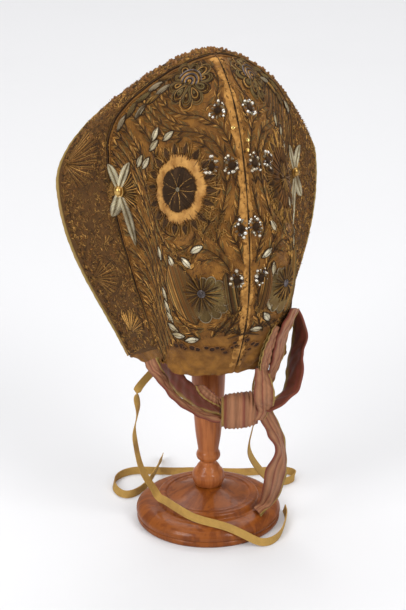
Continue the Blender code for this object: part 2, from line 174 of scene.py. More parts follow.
# The tapes' middle lines, from the bonnet to the free end
TAPE_WIDTH = 6.0
TAPE_CLOTH = 0.7
TAPE_SPACING = 1.5
TAPE_UPRIGHT = (0.25, 0.45, 1.0)
TAPES = {
    "tape_left": (
        (-40.4, -28.2, 135.2), (-46.6, -34.0, 130.4), (-52.0, -39.0, 125.0), (-53.5, -41.0, 119.0),
        (-52.5, -41.0, 110.5), (-53.5, -40.0, 101.5), (-55.5, -38.0, 90.5), (-55.0, -35.0, 79.0),
        (-53.5, -31.0, 66.5), (-51.0, -26.0, 53.0), (-47.0, -20.5, 41.0), (-42.5, -15.0, 30.5),
        (-38.5, -14.5, 22.8), (-33.5, -20.5, 22.6), (-27.0, -28.5, 22.2), (-20.0, -35.0, 20.8),
        (-12.5, -40.0, 18.8), (-4.0, -44.5, 17.8), (4.5, -48.0, 17.2), (13.5, -50.5, 15.6),
        (22.5, -52.0, 12.2), (32.0, -52.5, 7.2), (39.0, -52.5, 4.0), (46.0, -50.5, 3.2),
        (53.0, -42.0, 3.2), (57.5, -28.0, 3.2), (60.0, -13.0, 3.2), (60.5, -4.0, 3.2), (59.5, 5.0, 3.2),
    ),
    "tape_right": (
        (36.4, -40.2, 144.4), (34.0, -34.0, 132.0), (33.5, -27.5, 119.0), (34.5, -22.5, 105.0),
        (35.0, -17.0, 91.0), (33.5, -9.0, 76.5), (32.0, 0.0, 64.0), (31.5, 8.5, 52.5),
        (34.0, 18.5, 40.0), (39.0, 28.0, 27.5), (46.5, 37.0, 14.5), (55.5, 45.5, 6.0),
        (63.5, 52.0, 3.2), (69.5, 58.5, 3.2), (69.5, 66.5, 3.2), (63.0, 71.0, 3.2),
        (53.5, 71.5, 3.2), (43.5, 70.0, 3.2), (33.5, 68.5, 3.2), (22.5, 68.0, 3.2), (11.0, 68.5, 3.2),
        (-1.0, 69.0, 3.2), (-13.5, 70.0, 3.2), (-25.0, 69.5, 3.2), (-37.0, 70.0, 3.2),
        (-48.5, 71.0, 3.2), (-60.0, 70.5, 3.2), (-69.0, 65.5, 3.2), (-74.5, 56.5, 3.2),
        (-75.5, 44.5, 3.2), (-71.5, 33.0, 3.2), (-65.0, 28.0, 3.2), (-57.5, 32.0, 3.2),
        (-50.0, 41.5, 4.6), (-44.5, 52.0, 8.0), (-41.0, 62.5, 9.8), (-39.5, 72.5, 9.8),
        (-38.5, 83.5, 6.5), (-37.5, 97.5, 3.2),
    ),
}

# Turned outlines, from the bottom to the top, as radius and height
HEAD_TOP = 369.7
TURNED = {
    "stand_foot": (
        (54.6, 0.0), (55.6, 1.0), (55.6, 3.6), (54.8, 4.2), (56.0, 6.0), (56.0, 8.5), (53.5, 11.8),
        (49.0, 14.2), (43.0, 15.2), (39.6, 15.2), (39.2, 18.6), (37.4, 20.3), (33.6, 20.3), (32.2, 19.0),
        (30.6, 19.2), (22.0, 22.4), (14.0, 25.4), (10.2, 27.2),
    ),
    "stand_column": (
        (10.4, 27.8), (12.2, 31.0), (12.7, 34.7), (12.0, 38.2), (9.6, 41.0), (8.9, 42.6), (7.6, 44.4),
        (6.1, 46.0), (6.1, 47.8), (8.6, 49.4), (9.5, 52.2), (8.8, 54.8), (7.7, 56.7), (8.8, 63.0),
        (10.2, 73.0), (11.8, 95.0), (12.9, 117.0), (13.6, 150.0), (13.8, 230.0), (13.0, 312.6),
    ),
    "stand_head": (
        (14.0, HEAD_TOP - 56.7), (20.0, HEAD_TOP - 51.0), (25.0, HEAD_TOP - 41.0), (27.0, HEAD_TOP - 29.0),
        (25.5, HEAD_TOP - 17.5), (19.0, HEAD_TOP - 8.4), (11.0, HEAD_TOP - 4.0), (4.5, HEAD_TOP - 1.3),
    ),
}
TURNED_SIDES = 112

# The camera looks along +Y and down, at the same angle as the picture
CAMERA_PLACE = (-0.0041, -1.3957, 0.7258)
CAMERA_TARGET = (-0.0041, 0.0, 0.176)
CAMERA_LENS = 118.0

# Each soft light's place, what it looks at, its size, and whose power it has and how much of it
LIGHTS = {
    "light_left": ((-1.25, -1.3, 1.25), (0, 0, 0.2), 0.9, "key_power", 1.0),
    "light_right": ((1.25, -1.2, 1.3), (0, 0, 0.2), 0.9, "key_power", 0.85),
    "light_top": ((0, 0.7, 2.4), (0, 0.4, 0), 2.6, "top_power", 1.0),
    "light_back": ((0, 3.2, 2.8), (0, 3.6, 0), 3.0, "top_power", 1.1),
}
FLOOR_REACH = 6.0
WORLD_STRENGTH = 0.3


def spline(stations, values, at):
    """Natural cubic spline through values at the stations, read at other places."""
    stations = np.asarray(stations, float)
    values = np.asarray(values, float)
    last = len(stations) - 1
    steps = np.diff(stations)
    system = np.eye(last + 1)
    bends = np.zeros_like(values)
    for i in range(1, last):
        system[i, i - 1:i + 2] = steps[i - 1], 2 * (steps[i - 1] + steps[i]), steps[i]
        bends[i] = 6 * ((values[i + 1] - values[i]) / steps[i] - (values[i] - values[i - 1]) / steps[i - 1])
    bends = np.tensordot(np.linalg.inv(system), bends, axes=1)
    at = np.asarray(at, float)
    i = np.clip(np.searchsorted(stations, at, side="right") - 1, 0, last - 1)
    shape = (-1,) + (1,) * (values.ndim - 1)
    step = steps[i].reshape(shape)
    before = (stations[i + 1] - at).reshape(shape)
    after = (at - stations[i]).reshape(shape)
    curve = (bends[i] * before**3 + bends[i + 1] * after**3) / (6 * step)
    curve += (values[i] / step - bends[i] * step / 6) * before
    return curve + (values[i + 1] / step - bends[i + 1] * step / 6) * after


def bezier(start, first, second, end, count=90):
    t = np.linspace(0, 1, count)[:, None]
    return (1 - t)**3 * start + 3 * (1 - t)**2 * t * first + 3 * (1 - t) * t * t * second + t**3 * end


def evenly(points, count):
    """The same line with its points spaced evenly along it."""
    points = np.asarray(points, float)
    along = np.concatenate([[0], np.cumsum(np.linalg.norm(np.diff(points, axis=0), axis=1))])
    places = np.linspace(0, along[-1], count)
    return np.stack([np.interp(places, along, points[:, axis]) for axis in range(points.shape[1])], axis=1)


def smooth_line(route, spacing):
    """Evenly spaced points on a smooth curve through a route's own points."""
    fine = spline(range(len(route)), route, np.linspace(0, len(route) - 1, 12 * len(route)))
    length = np.linalg.norm(np.diff(fine, axis=0), axis=1).sum()
    return evenly(fine, round(length / spacing) + 1)


def lengths(vectors):
    return np.linalg.norm(vectors, axis=-1)


def unit(vectors):
    return vectors / np.maximum(lengths(vectors)[..., None], 1e-9)


def circle(sides):
    """Evenly spaced angles round a full turn, in radians."""
    return np.linspace(0, 2 * math.pi, sides, endpoint=False)


def bow_line(values, count):
    """One bow from its apex down to its right end, evenly spaced."""
    bow = dict(zip(BOW_COLUMNS, values))
    foot = np.array([0, bow["end_y"], bow["end_z"]])
    rise = np.array([0, bow["apex_y"], bow["apex_z"]]) - foot

    def at(x, height, forward=0.0):
        return foot + rise * height + np.array([x, forward, 0])

    wide, share, lean = bow["wide"], bow["share"], bow["lean"]
    widest = at(wide, share, lean)
    top = bezier(at(0, 1), at(bow["crown"] * wide, 1), at(wide, (1 + share) / 2, lean), widest)
    cheek = at(bow["end_x"] + (wide - bow["end_x"]) * bow["cheek"], share * 0.35)
    down = bezier(widest, at(wide, share * 0.6, lean), cheek, at(bow["end_x"], 0))
    return evenly(np.concatenate([top, down[1:]]), count)


class Chart:
    """The bonnet's outer surface as a fine grid, read at places given as bow and along."""

    def __init__(self):
        bows = np.linspace(0, 1, CHART_BOWS + 1)
        lines = np.stack([bow_line(values, CHART_HALF + 1) for values in BOWS])
        right = spline([values[0] for values in BOWS], lines, bows)
        left = right[:, :0:-1] * np.array([-1, 1, 1])
        grid = np.concatenate([left, right], axis=1)
        cos, sin = math.cos(math.radians(YAW_DEG)), math.sin(math.radians(YAW_DEG))
        self.points = np.stack([grid[..., 0] * cos - grid[..., 1] * sin,
                                grid[..., 0] * sin + grid[..., 1] * cos, grid[..., 2]], axis=2)
        self.by_bow = np.gradient(self.points, axis=0) * CHART_BOWS
        self.by_along = np.gradient(self.points, axis=1) * CHART_HALF
        self.normals = unit(np.cross(self.by_along, self.by_bow))

    def read(self, grid, places):
        """The grid's values at the places, between its own points, and carried on a little past its rims."""
        places = np.asarray(places, float)
        row = np.clip(places[..., 0], 0, 1) * CHART_BOWS
        column = (np.clip(places[..., 1], -1, 1) + 1) * CHART_HALF
        i = np.minimum(row.astype(int), CHART_BOWS - 1)
        j = np.minimum(column.astype(int), 2 * CHART_HALF - 1)
        a, b = (row - i)[..., None], (column - j)[..., None]
        return ((grid[i, j] * (1 - a) + grid[i + 1, j] * a) * (1 - b)
                + (grid[i, j + 1] * (1 - a) + grid[i + 1, j + 1] * a) * b)

    def normal(self, places):
        return unit(self.read(self.normals, places))

    def at(self, places, height=0.0):
        """World points at the places, lifted off the surface by the height."""
        return self.read(self.points, places) + self.normal(places) * np.asarray(height, float)[..., None]

    def lay(self, place, drawing):
        """Places on the surface for a flat drawing in millimetres, whose origin is put at the place.

        The drawing's Y points up the bonnet there and its X to the viewer's right.
        """
        origin = self.read(self.points, place)
        normal = self.normal(place)
        right = unit(np.cross([0, 0, 1], normal))
        up = np.cross(normal, right)
        drawing = np.asarray(drawing, float)
        target = origin + drawing[:, :1] * right + drawing[:, 1:2] * up
        places = np.tile(np.asarray(place, float), (len(drawing), 1))
        for _ in range(7):
            off = target - self.read(self.points, places)
            bow, along = self.read(self.by_bow, places), self.read(self.by_along, places)
            a, b = bow @ right, along @ right
            c, d = bow @ up, along @ up
            det = a * d - b * c
            det = np.where(np.abs(det) < 60, 60 * np.sign(det + 1e-9), det)
            x, y = off @ right, off @ up
            step = np.stack([(x * d - y * b) / det, (y * a - x * c) / det], axis=1)
            places += np.clip(step, -0.08, 0.08)
            places[:, 0] = np.clip(places[:, 0], 0, 1)
            places[:, 1] = np.clip(places[:, 1], -1, 1)
        return places


CHART = Chart()


def lofted(rings):
    """Points and faces of a closed body through closed rings of the same length, capped at both ends."""
    rings = np.asarray(rings, float)
    count, sides = rings.shape[:2]
    a = (np.arange(count - 1)[:, None] * sides + np.arange(sides)).ravel()
    b = (np.arange(count - 1)[:, None] * sides + (np.arange(sides) + 1) % sides).ravel()
    faces = np.stack([a, b, b + sides, a + sides], axis=1).tolist()
    faces.append(list(range(sides - 1, -1, -1)))
    faces.append(list(range((count - 1) * sides, count * sides)))
    return rings.reshape(-1, 3), faces


def plate(outer, inner):
    """Points and faces of a wall between two grids of points, with its four rims closed."""
    rows, columns = outer.shape[:2]
    points = np.concatenate([outer.reshape(-1, 3), inner.reshape(-1, 3)])
    behind = rows * columns
    a = (np.arange(rows - 1)[:, None] * columns + np.arange(columns - 1)).ravel()
    b, c, d = a + 1, a + columns + 1, a + columns
    faces = np.stack([a, b, c, d], axis=1).tolist()
    faces += np.stack([behind + a, behind + d, behind + c, behind + b], axis=1).tolist()
    rim = list(range(columns))
    rim += [row * columns + columns - 1 for row in range(1, rows)]
    rim += [(rows - 1) * columns + column for column in range(columns - 2, -1, -1)]
    rim += [row * columns for row in range(rows - 2, 0, -1)]
    for p, q in zip(rim, rim[1:] + rim[:1]):
        faces.append([q, p, behind + p, behind + q])
    return points, faces


def add_piece(name, points, faces, material, sharp_deg=45.0, flat=None, tone=None):
    """A piece that rides on the body; flat is each point's place in its cloth, in millimetres."""
    mesh = bpy.data.meshes.new(name)
    mesh.from_pydata((np.asarray(points) * MM).tolist(), [], faces)
    mesh.shade_smooth()
    if sharp_deg:
        mesh.set_sharp_from_angle(angle=math.radians(sharp_deg))
    if flat is not None:
        layer = mesh.uv_layers.new(name="cloth")
        corners = np.empty(len(mesh.loops), int)
        mesh.loops.foreach_get("vertex_index", corners)
        layer.data.foreach_set("uv", (np.asarray(flat)[corners] * MM).ravel())
    if tone is not None:
        mesh.attributes.new("tone", "FLOAT", "POINT").data.foreach_set("value", np.asarray(tone, float))
    mesh.materials.append(material)
    obj = bpy.data.objects.new(name, mesh)
    bpy.context.scene.collection.objects.link(obj)
    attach(obj, "root")
    return obj


def add_cloth(name, outer, inner, flat, material):
    """A closed wall of cloth between two grids of points, with a grid of their flat places."""
    points, faces = plate(outer, inner)
    return add_piece(name, points, faces, material, flat=np.tile(flat.reshape(-1, 2), (2, 1)))


# Materials

def group_start(name, inputs, *outputs):
    """A shader node group with float sockets; returns it with its input and output nodes."""
    tree = bpy.data.node_groups.new(name, "ShaderNodeTree")
    for label, default in inputs.items():
        socket = tree.interface.new_socket(name=label, in_out="INPUT", socket_type="NodeSocketFloat")
        socket.default_value = default
    for label in outputs:
        tree.interface.new_socket(name=label, in_out="OUTPUT", socket_type="NodeSocketFloat")
    return tree, tree.nodes.new("NodeGroupInput"), tree.nodes.new("NodeGroupOutput")


def set_inputs(made, values):
    """Gives a node's unlinked sockets their values, by their names with underscores for spaces."""
    for key, value in values.items():
        made.inputs[key.replace("_", " ")].default_value = value


def node(tree, kind, settings=(), **values):
    """A node with its settings and the values of its unlinked sockets."""
    made = tree.nodes.new(kind)
    for key, value in dict(settings).items():
        setattr(made, key, value)
    set_inputs(made, values)
    return made


def link(tree, source, target):
    tree.links.new(source, target)


def noise_at(tree, place, scale=None, **values):
    """The grey of a noise texture read at a place, with its scale from a socket or among the values."""
    made = node(tree, "ShaderNodeTexNoise", {}, **values)
    link(tree, place, made.inputs["Vector"])
    if scale is not None:
        link(tree, scale, made.inputs["Scale"])
    return made.outputs["Fac"]


def cloth_place(tree):
    """The cloth's own flat coordinates in metres, whole and as separate axes."""
    flat = node(tree, "ShaderNodeUVMap", {"uv_map": "cloth"})
    split = node(tree, "ShaderNodeSeparateXYZ")
    link(tree, flat.outputs[0], split.inputs[0])
    return flat.outputs[0], split.outputs


def math_node(tree, operation, first, second=None):
    """A Math node on two sources, each a socket or a number."""
    made = tree.nodes.new("ShaderNodeMath")
    made.operation = operation
    for index, value in enumerate((first, second)):
        if value is None:
            continue
        if isinstance(value, (int, float)):
            made.inputs[index].default_value = value
        else:
            link(tree, value, made.inputs[index])
    return made.outputs[0]


def mix_colours(tree, factor, first, second):
    """A colour mix of two sources, each a socket or a colour."""
    made = tree.nodes.new("ShaderNodeMix")
    made.data_type = "RGBA"
    for socket, value in ((made.inputs["Factor"], factor), (made.inputs[6], first), (made.inputs[7], second)):
        if isinstance(value, (int, float)):
            socket.default_value = value
        elif isinstance(value, bpy.types.NodeSocket):
            link(tree, value, socket)
        else:
            socket.default_value = (*value[:3], 1.0)
    return made.outputs[2]


def weave_group():
    """Crossed threads of a plain weave, from the cloth's own flat coordinates."""
    tree, start, end = group_start("Weave", {"Thread Size": 0.6, "Slub": 0.5}, "Height", "Shade")
    flat, axes = cloth_place(tree)
    noise = noise_at(tree, flat, Scale=260.0, Detail=3.0)
    full_turn = 6283.2  # in radians, times a thousand: the thread size is in millimetres
    waves = []
    for axis in (0, 1):
        turns = math_node(tree, "DIVIDE", axes[axis], start.outputs["Thread Size"])
        turns = math_node(tree, "MULTIPLY", turns, full_turn)
        waver = math_node(tree, "MULTIPLY", noise, start.outputs["Slub"])
        waver = math_node(tree, "MULTIPLY", waver, 3.0)
        waves.append(math_node(tree, "SINE", math_node(tree, "ADD", turns, waver)))
    height = math_node(tree, "MULTIPLY", waves[0], waves[1])
    height = math_node(tree, "MULTIPLY", math_node(tree, "ADD", height, 1.0), 0.5)
    link(tree, height, end.inputs["Height"])
    shade = math_node(tree, "MULTIPLY", math_node(tree, "ADD", height, noise), 0.5)
    link(tree, shade, end.inputs["Shade"])
    return tree


def soil_group():
    """Soft blotches, as of age and handling, from 0 where clean to 1 where soiled."""
    tree, start, end = group_start("Soil", {"Size": 40.0, "Reach": 0.5}, "Soiled")
    place = node(tree, "ShaderNodeTexCoord").outputs["Object"]
    noise = noise_at(tree, place, start.outputs["Size"], Detail=5.0, Roughness=0.62)
    spread = node(tree, "ShaderNodeMapRange", {"interpolation_type": "SMOOTHSTEP"}, From_Max=0.72)
    half_reach = math_node(tree, "MULTIPLY", start.outputs["Reach"], 0.5)
    link(tree, math_node(tree, "SUBTRACT", 0.75, half_reach), spread.inputs["From Min"])
    link(tree, noise, spread.inputs["Value"])
    link(tree, spread.outputs[0], end.inputs["Soiled"])
    return tree


def thread_group():
    """Each thread's own tone, with the twist of its strands as a fine height."""
    tree, start, end = group_start("Thread", {"Grain": 1500.0, "Tarnish Size": 60.0},
                                   "Tone", "Tarnish", "Height")
    tone = node(tree, "ShaderNodeAttribute", {"attribute_name": "tone"})
    place = node(tree, "ShaderNodeTexCoord").outputs["Object"]
    fine = noise_at(tree, place, start.outputs["Grain"], Detail=2.0)
    broad = noise_at(tree, place, start.outputs["Tarnish Size"], Detail=4.0, Roughness=0.6)
    spread = node(tree, "ShaderNodeMapRange", {}, From_Min=0.38, From_Max=0.66)
    link(tree, broad, spread.inputs["Value"])
    speckle = math_node(tree, "MULTIPLY", math_node(tree, "SUBTRACT", fine, 0.5), 0.8)
    link(tree, math_node(tree, "ADD", tone.outputs["Fac"], speckle), end.inputs["Tone"])
    link(tree, spread.outputs[0], end.inputs["Tarnish"])
    link(tree, fine, end.inputs["Height"])
    return tree


def grain_group():
    """Long wood grain that runs up a turned piece, with fine pores."""
    tree, start, end = group_start("Wood grain", {"Figure": 34.0, "Pore": 420.0}, "Dark", "Height")
    place = node(tree, "ShaderNodeTexCoord")
    stretch = node(tree, "ShaderNodeMapping", {}, Scale=(1.0, 1.0, 0.09))
    link(tree, place.outputs["Object"], stretch.inputs["Vector"])
    figure = noise_at(tree, stretch.outputs[0], start.outputs["Figure"], Detail=6.0, Roughness=0.6,
                      Distortion=0.7)
    pore = noise_at(tree, stretch.outputs[0], start.outputs["Pore"], Detail=3.0)
    rings = math_node(tree, "SINE", math_node(tree, "MULTIPLY", figure, 38.0))
    rings = math_node(tree, "MULTIPLY", math_node(tree, "ADD", rings, 1.0), 0.28)
    dark = math_node(tree, "ADD", rings, math_node(tree, "MULTIPLY", pore, 0.5))
    link(tree, dark, end.inputs["Dark"])
    link(tree, pore, end.inputs["Height"])
    return tree


GROUPS = {}
MATERIALS = {}


def effect(tree, name, **values):
    """One of the shared groups, placed in a material with its own values."""
    makers = {"Weave": weave_group, "Soil": soil_group, "Thread": thread_group, "Wood grain": grain_group}
    if name not in GROUPS:
        GROUPS[name] = makers[name]()
    made = tree.nodes.new("ShaderNodeGroup")
    made.node_tree = GROUPS[name]
    set_inputs(made, values)
    return made


def new_material(name, **values):
    """A material and its shader, with constant values on the shader's own sockets."""
    material = bpy.data.materials.new(name)
    material.use_nodes = True
    shader = material.node_tree.nodes["Principled BSDF"]
    set_inputs(shader, values)
    MATERIALS[name] = material
    return material, material.node_tree, shader


def bump(tree, shader, height, strength, distance_mm):
    made = node(tree, "ShaderNodeBump", {}, Strength=strength, Distance=distance_mm * MM)
    link(tree, height, made.inputs["Height"])
    link(tree, made.outputs[0], shader.inputs["Normal"])


def woven_material(name, colour, dark, thread_mm, roughness, soil_reach, soil, soil_size=34.0):
    """Plain woven cloth that is soiled in places."""
    material, tree, shader = new_material(name, Roughness=roughness, Sheen_Weight=0.04, Sheen_Roughness=0.4,
                                          Specular_IOR_Level=0.14)
    weave = effect(tree, "Weave", Thread_Size=thread_mm, Slub=0.7)
    stains = effect(tree, "Soil", Size=soil_size, Reach=soil_reach)
    cloth = mix_colours(tree, weave.outputs["Shade"], dark, colour)
    link(tree, mix_colours(tree, stains.outputs["Soiled"], cloth, soil), shader.inputs["Base Color"])
    bump(tree, shader, weave.outputs["Height"], 0.5, 0.25)
    return material


def thread_material(name, low, high, tarnished, roughness, metallic):
    """Sewn thread, whose tone changes from one thread to the next."""
    material, tree, shader = new_material(name, Roughness=roughness, Metallic=metallic,
                                          Specular_IOR_Level=0.22)
    thread = effect(tree, "Thread", Grain=1500.0, Tarnish_Size=55.0)
    colour = mix_colours(tree, thread.outputs["Tone"], low, high)
    link(tree, mix_colours(tree, thread.outputs["Tarnish"], colour, tarnished), shader.inputs["Base Color"])
    bump(tree, shader, thread.outputs["Height"], 0.5, 0.15)
    return material


def ribbon_material(name, colours):
    """Silk ribbon with fine lengthwise stripes and golden selvedges; the half that lies behind in a fold is
    painted dark as the shade inside the fold.
    """
    material, tree, shader = new_material(name, Roughness=0.5, Sheen_Weight=0.03, Sheen_Roughness=0.35,
                                          Specular_IOR_Level=0.2)
    across = math_node(tree, "DIVIDE", cloth_place(tree)[1][0], RIBBON_WIDTH * MM)
    ramp = node(tree, "ShaderNodeValToRGB")
    stops = ramp.color_ramp.elements
    rose, fold_shade, line, edge = (tuple(colour) for colour in colours)
    pale = tuple(min(1.0, c * 1.5) for c in rose)
    # The far half of the ramp, from 0.53 on, is painted shade for the inside of the fold
    wanted = ((0.0, edge), (0.035, edge), (0.06, line), (0.1, rose), (0.16, pale), (0.2, rose), (0.27, pale),
              (0.31, line), (0.33, rose), (0.4, pale), (0.45, rose), (0.49, line), (0.53, fold_shade), (0.62, line),
              (0.66, fold_shade), (0.78, fold_shade), (0.84, line), (0.87, fold_shade), (0.96, edge), (1.0, edge))
    while len(stops) < len(wanted):
        stops.new(0.5)
    for stop, (place, colour) in zip(stops, wanted):
        stop.position = place
        stop.color = (*colour[:3], 1.0)
    link(tree, across, ramp.inputs[0])
    weave = effect(tree, "Weave", Thread_Size=0.5, Slub=0.4)
    dim = math_node(tree, "ADD", math_node(tree, "MULTIPLY", weave.outputs["Shade"], 0.5), 0.62)
    shaded = node(tree, "ShaderNodeVectorMath", {"operation": "SCALE"})
    link(tree, ramp.outputs[0], shaded.inputs[0])
    link(tree, dim, shaded.inputs["Scale"])
    stains = effect(tree, "Soil", Size=46.0, Reach=0.35)
    brown = (0.16, 0.075, 0.04)
    soiled = math_node(tree, "MULTIPLY", stains.outputs["Soiled"], 0.5)
    link(tree, mix_colours(tree, soiled, shaded.outputs[0], brown), shader.inputs["Base Color"])
    bump(tree, shader, weave.outputs["Height"], 0.35, 0.2)
    return material


def wood_material(name, light, dark):
    """Turned red-brown wood under a clear varnish."""
    material, tree, shader = new_material(name, Roughness=0.42, Coat_Weight=0.18, Coat_Roughness=0.08,
                                          Specular_IOR_Level=0.2)
    grain = effect(tree, "Wood grain", Figure=34.0, Pore=420.0)
    stains = effect(tree, "Soil", Size=22.0, Reach=0.45)
    colour = mix_colours(tree, grain.outputs["Dark"], light, dark)
    worn = mix_colours(tree, math_node(tree, "MULTIPLY", stains.outputs["Soiled"], 0.18), colour, dark)
    link(tree, worn, shader.inputs["Base Color"])
    bump(tree, shader, grain.outputs["Height"], 0.12, 0.2)
    return material


def plain_material(name, colour, roughness):
    """A stage surface with a very faint mottle."""
    material, tree, shader = new_material(name, Roughness=roughness)
    stains = effect(tree, "Soil", Size=2.0, Reach=0.6)
    darker = tuple(c * 0.985 for c in colour[:3])
    link(tree, mix_colours(tree, stains.outputs["Soiled"], colour, darker), shader.inputs["Base Color"])
    return material


# What a user may change

def colour_property(label, note, default):
    return FloatVectorProperty(name=label, description=note, default=default, size=3, min=0.0, max=1.0,
                               subtype="COLOR")


class BONNET_PG_cloth(bpy.types.PropertyGroup):
    """Colours of the bonnet's cloth, threads and metal."""

    silk: colour_property("Silk", "The worn orange-tan ground", (0.4, 0.18, 0.032))
    silk_dark: colour_property("Silk shade", "The silk between its threads", (0.14, 0.056, 0.009))
    band: colour_property("Band ground", "The dark cloth below the band's stitches", (0.13, 0.06, 0.018))
    gold: colour_property("Gold thread", "Tarnished gilt thread", (0.5, 0.27, 0.07))
    binding: colour_property("Binding", "The pale tape along the face edge", (0.42, 0.28, 0.09))
    rose: colour_property("Ribbon rose", "The ribbon's broad stripes", (0.28, 0.125, 0.062))
    # Painted shade: the colour of the ribbon half that lies inside the fold
    fold_shade: colour_property("Ribbon shade", "The ribbon's darker half", (0.17, 0.045, 0.02))
    line: colour_property("Ribbon line", "The ribbon's narrow crimson lines", (0.2, 0.045, 0.028))
    selvedge: colour_property("Ribbon selvedge", "The ribbon's golden edges", (0.34, 0.215, 0.06))
    tape: colour_property("Tape", "The narrow ochre tapes", (0.62, 0.37, 0.1))


class BONNET_PG_stand(bpy.types.PropertyGroup):
    """Colours of the stand and the studio's light."""

    wood: colour_property("Wood", "The light part of the grain", (0.5, 0.165, 0.045))
    wood_dark: colour_property("Wood grain", "The dark part of the grain", (0.27, 0.07, 0.017))
    floor: colour_property("Floor", "The pale floor", (0.765, 0.765, 0.78))
    key_power: FloatProperty(name="Side lights", description="Power of each soft side light", default=23.0,
                             min=0.0, unit="POWER")
    top_power: FloatProperty(name="Top light", description="Power of the broad light overhead", default=40.0,
                             min=0.0, unit="POWER")
    sides: IntProperty(name="Turned sides", description="Facets round each turned piece",
                       default=TURNED_SIDES, min=24)


def place_object(name, data, place, aim):
    """A camera or light at a place, turned to look at its aim."""
    made = bpy.data.objects.new(name, data)
    made.location = place
    made.rotation_euler = (Vector(aim) - Vector(place)).to_track_quat("-Z", "Y").to_euler()
    bpy.context.scene.collection.objects.link(made)
    return made


class BONNET_OT_stage(bpy.types.Operator):
    """Set the camera, the pale floor and the soft lights"""

    bl_idname = "bonnet.stage"
    bl_label = "Camera, floor and lights"

    def execute(self, context):
        props = context.scene.bonnet_stand
        data = bpy.data.cameras.new("camera")
        data.lens = CAMERA_LENS
        context.scene.camera = place_object("camera", data, CAMERA_PLACE, CAMERA_TARGET)
        mesh = bpy.data.meshes.new("floor")
        corners = [(x * FLOOR_REACH, y * FLOOR_REACH, 0) for x, y in ((-1, -1), (1, -1), (1, 1), (-1, 1))]
        mesh.from_pydata(corners, [], [(0, 1, 2, 3)])
        mesh.materials.append(plain_material("Pale floor", tuple(props.floor), 0.75))
        floor = bpy.data.objects.new("floor", mesh)
        context.scene.collection.objects.link(floor)
        for name, (place, aim, size, power, share) in LIGHTS.items():
            data = bpy.data.lights.new(name, "AREA")
            data.shape = "SQUARE"
            data.size = size
            data.energy = getattr(props, power) * share
            place_object(name, data, place, aim)
        world = bpy.data.worlds.new("studio")
        world.use_nodes = True
        set_inputs(world.node_tree.nodes["Background"],
                   {"Color": (1.0, 1.0, 1.0, 1.0), "Strength": WORLD_STRENGTH})
        context.scene.world = world
        context.scene.view_settings.view_transform = "Standard"
        return {"FINISHED"}


def smoothed(rows, width):
    """The rows averaged with their neighbours along the line."""
    kernel = np.hanning(2 * width + 3)[1:-1]
    kernel /= kernel.sum()
    padded = np.concatenate([np.repeat(rows[:1], width, 0), rows, np.repeat(rows[-1:], width, 0)])
    return np.stack([np.convolve(padded[:, axis], kernel, "valid") for axis in range(rows.shape[1])], axis=1)


def flat_tape(name, route, material):
    """A flat tape on edge, as closed cloth with a slightly curled section."""
    path = smooth_line(route, TAPE_SPACING)
    tangent = unit(np.gradient(path, axis=0))
    across = TAPE_UPRIGHT - (TAPE_UPRIGHT * tangent).sum(1, keepdims=True) * tangent
    across = smoothed(unit(across), 4)
    across = unit(across - (across * tangent).sum(1, keepdims=True) * tangent)
    out = np.cross(tangent, across)
    length = lengths(np.diff(path, axis=0)).sum()
    along = np.linspace(0, length, len(path))
    half, thick = TAPE_WIDTH / 2, TAPE_CLOTH / 2
    steps = np.linspace(-1, 1, 7)
    curl = 0.5 * np.sin(along / 19.0)
    front = [(s * half, c) for s, c in zip(steps, 0.35 * (1 - steps**2))]
    rings = []
    for side, lift in ((1, thick), (-1, -thick)):
        for s, arch in front[::side]:
            rings.append(path + across * s + out * (arch * curl[:, None] * 2 + lift))
    rings = np.stack(rings, axis=1)
    points, faces = lofted(rings)
    flats = [(s * half + half, 0) for s in steps] + [(half - s * half, 0) for s in steps]
    flat = np.tile(np.array(flats), (len(path), 1))
    flat[:, 1] = np.repeat(along, len(flats))
    obj = add_piece(name + "_cloth", points, faces, material, flat=flat)
    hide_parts(name)


class BONNET_OT_tapes(bpy.types.Operator):
    """Lay the two narrow ochre tapes down from the bonnet and over the floor"""

    bl_idname = "bonnet.tapes"
    bl_label = "Tapes"

    def execute(self, context):
        props = context.scene.bonnet_cloth
        colour = tuple(props.tape)
        material = woven_material("Ochre tape", colour, tuple(c * 0.45 for c in colour), 0.7, 0.8, 0.5,
                                  (0.3, 0.16, 0.05))
        for name, route in TAPES.items():
            flat_tape(name, route, material)
        return {"FINISHED"}


def ground(name, node_name, bows, alongs, relief, material):
    """The cloth of one part of the bonnet: its outer side with relief, and its plain lining."""
    places = np.stack(np.meshgrid(bows, alongs, indexing="ij"), axis=2)
    outer = CHART.at(places, relief(places))
    inner = CHART.at(places, np.full(places.shape[:2], -WALL))
    across, along = lengths(np.gradient(outer, axis=1)), lengths(np.gradient(outer, axis=0))
    flat = np.stack([np.cumsum(across, axis=1), np.cumsum(along, axis=0)], axis=2)
    obj = add_cloth(name, outer, inner, flat, material)
    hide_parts(node_name)


def metric(places):
    """Distance from the centre seam in millimetres, roughly, at the places."""
    return np.abs(places[..., 1]) * lengths(CHART.read(CHART.by_along, places))


def back_relief(places):
    """Puckers beside the centre seam, and soft folds in the plain silk above the nape."""
    beside = metric(places)
    line = -0.7 * np.exp(-(beside / 0.9)**2)
    strip = 0.5 * np.exp(-((beside - 2.6) / 1.6)**2) * (0.7 + 0.3 * np.sin(places[..., 0] * 190))
    low = np.clip((0.1 - places[..., 0]) / 0.05, 0, 1)
    folds = 0.5 * np.sin(places[..., 1] * 23 + 31 * places[..., 0] + 2 * np.sin(places[..., 0] * 70))
    folds += 0.4 * np.sin(places[..., 0] * 120 + 5 * np.sin(places[..., 1] * 11))
    folds = low * folds * np.clip(beside / 6, 0, 1)
    return line + strip + folds


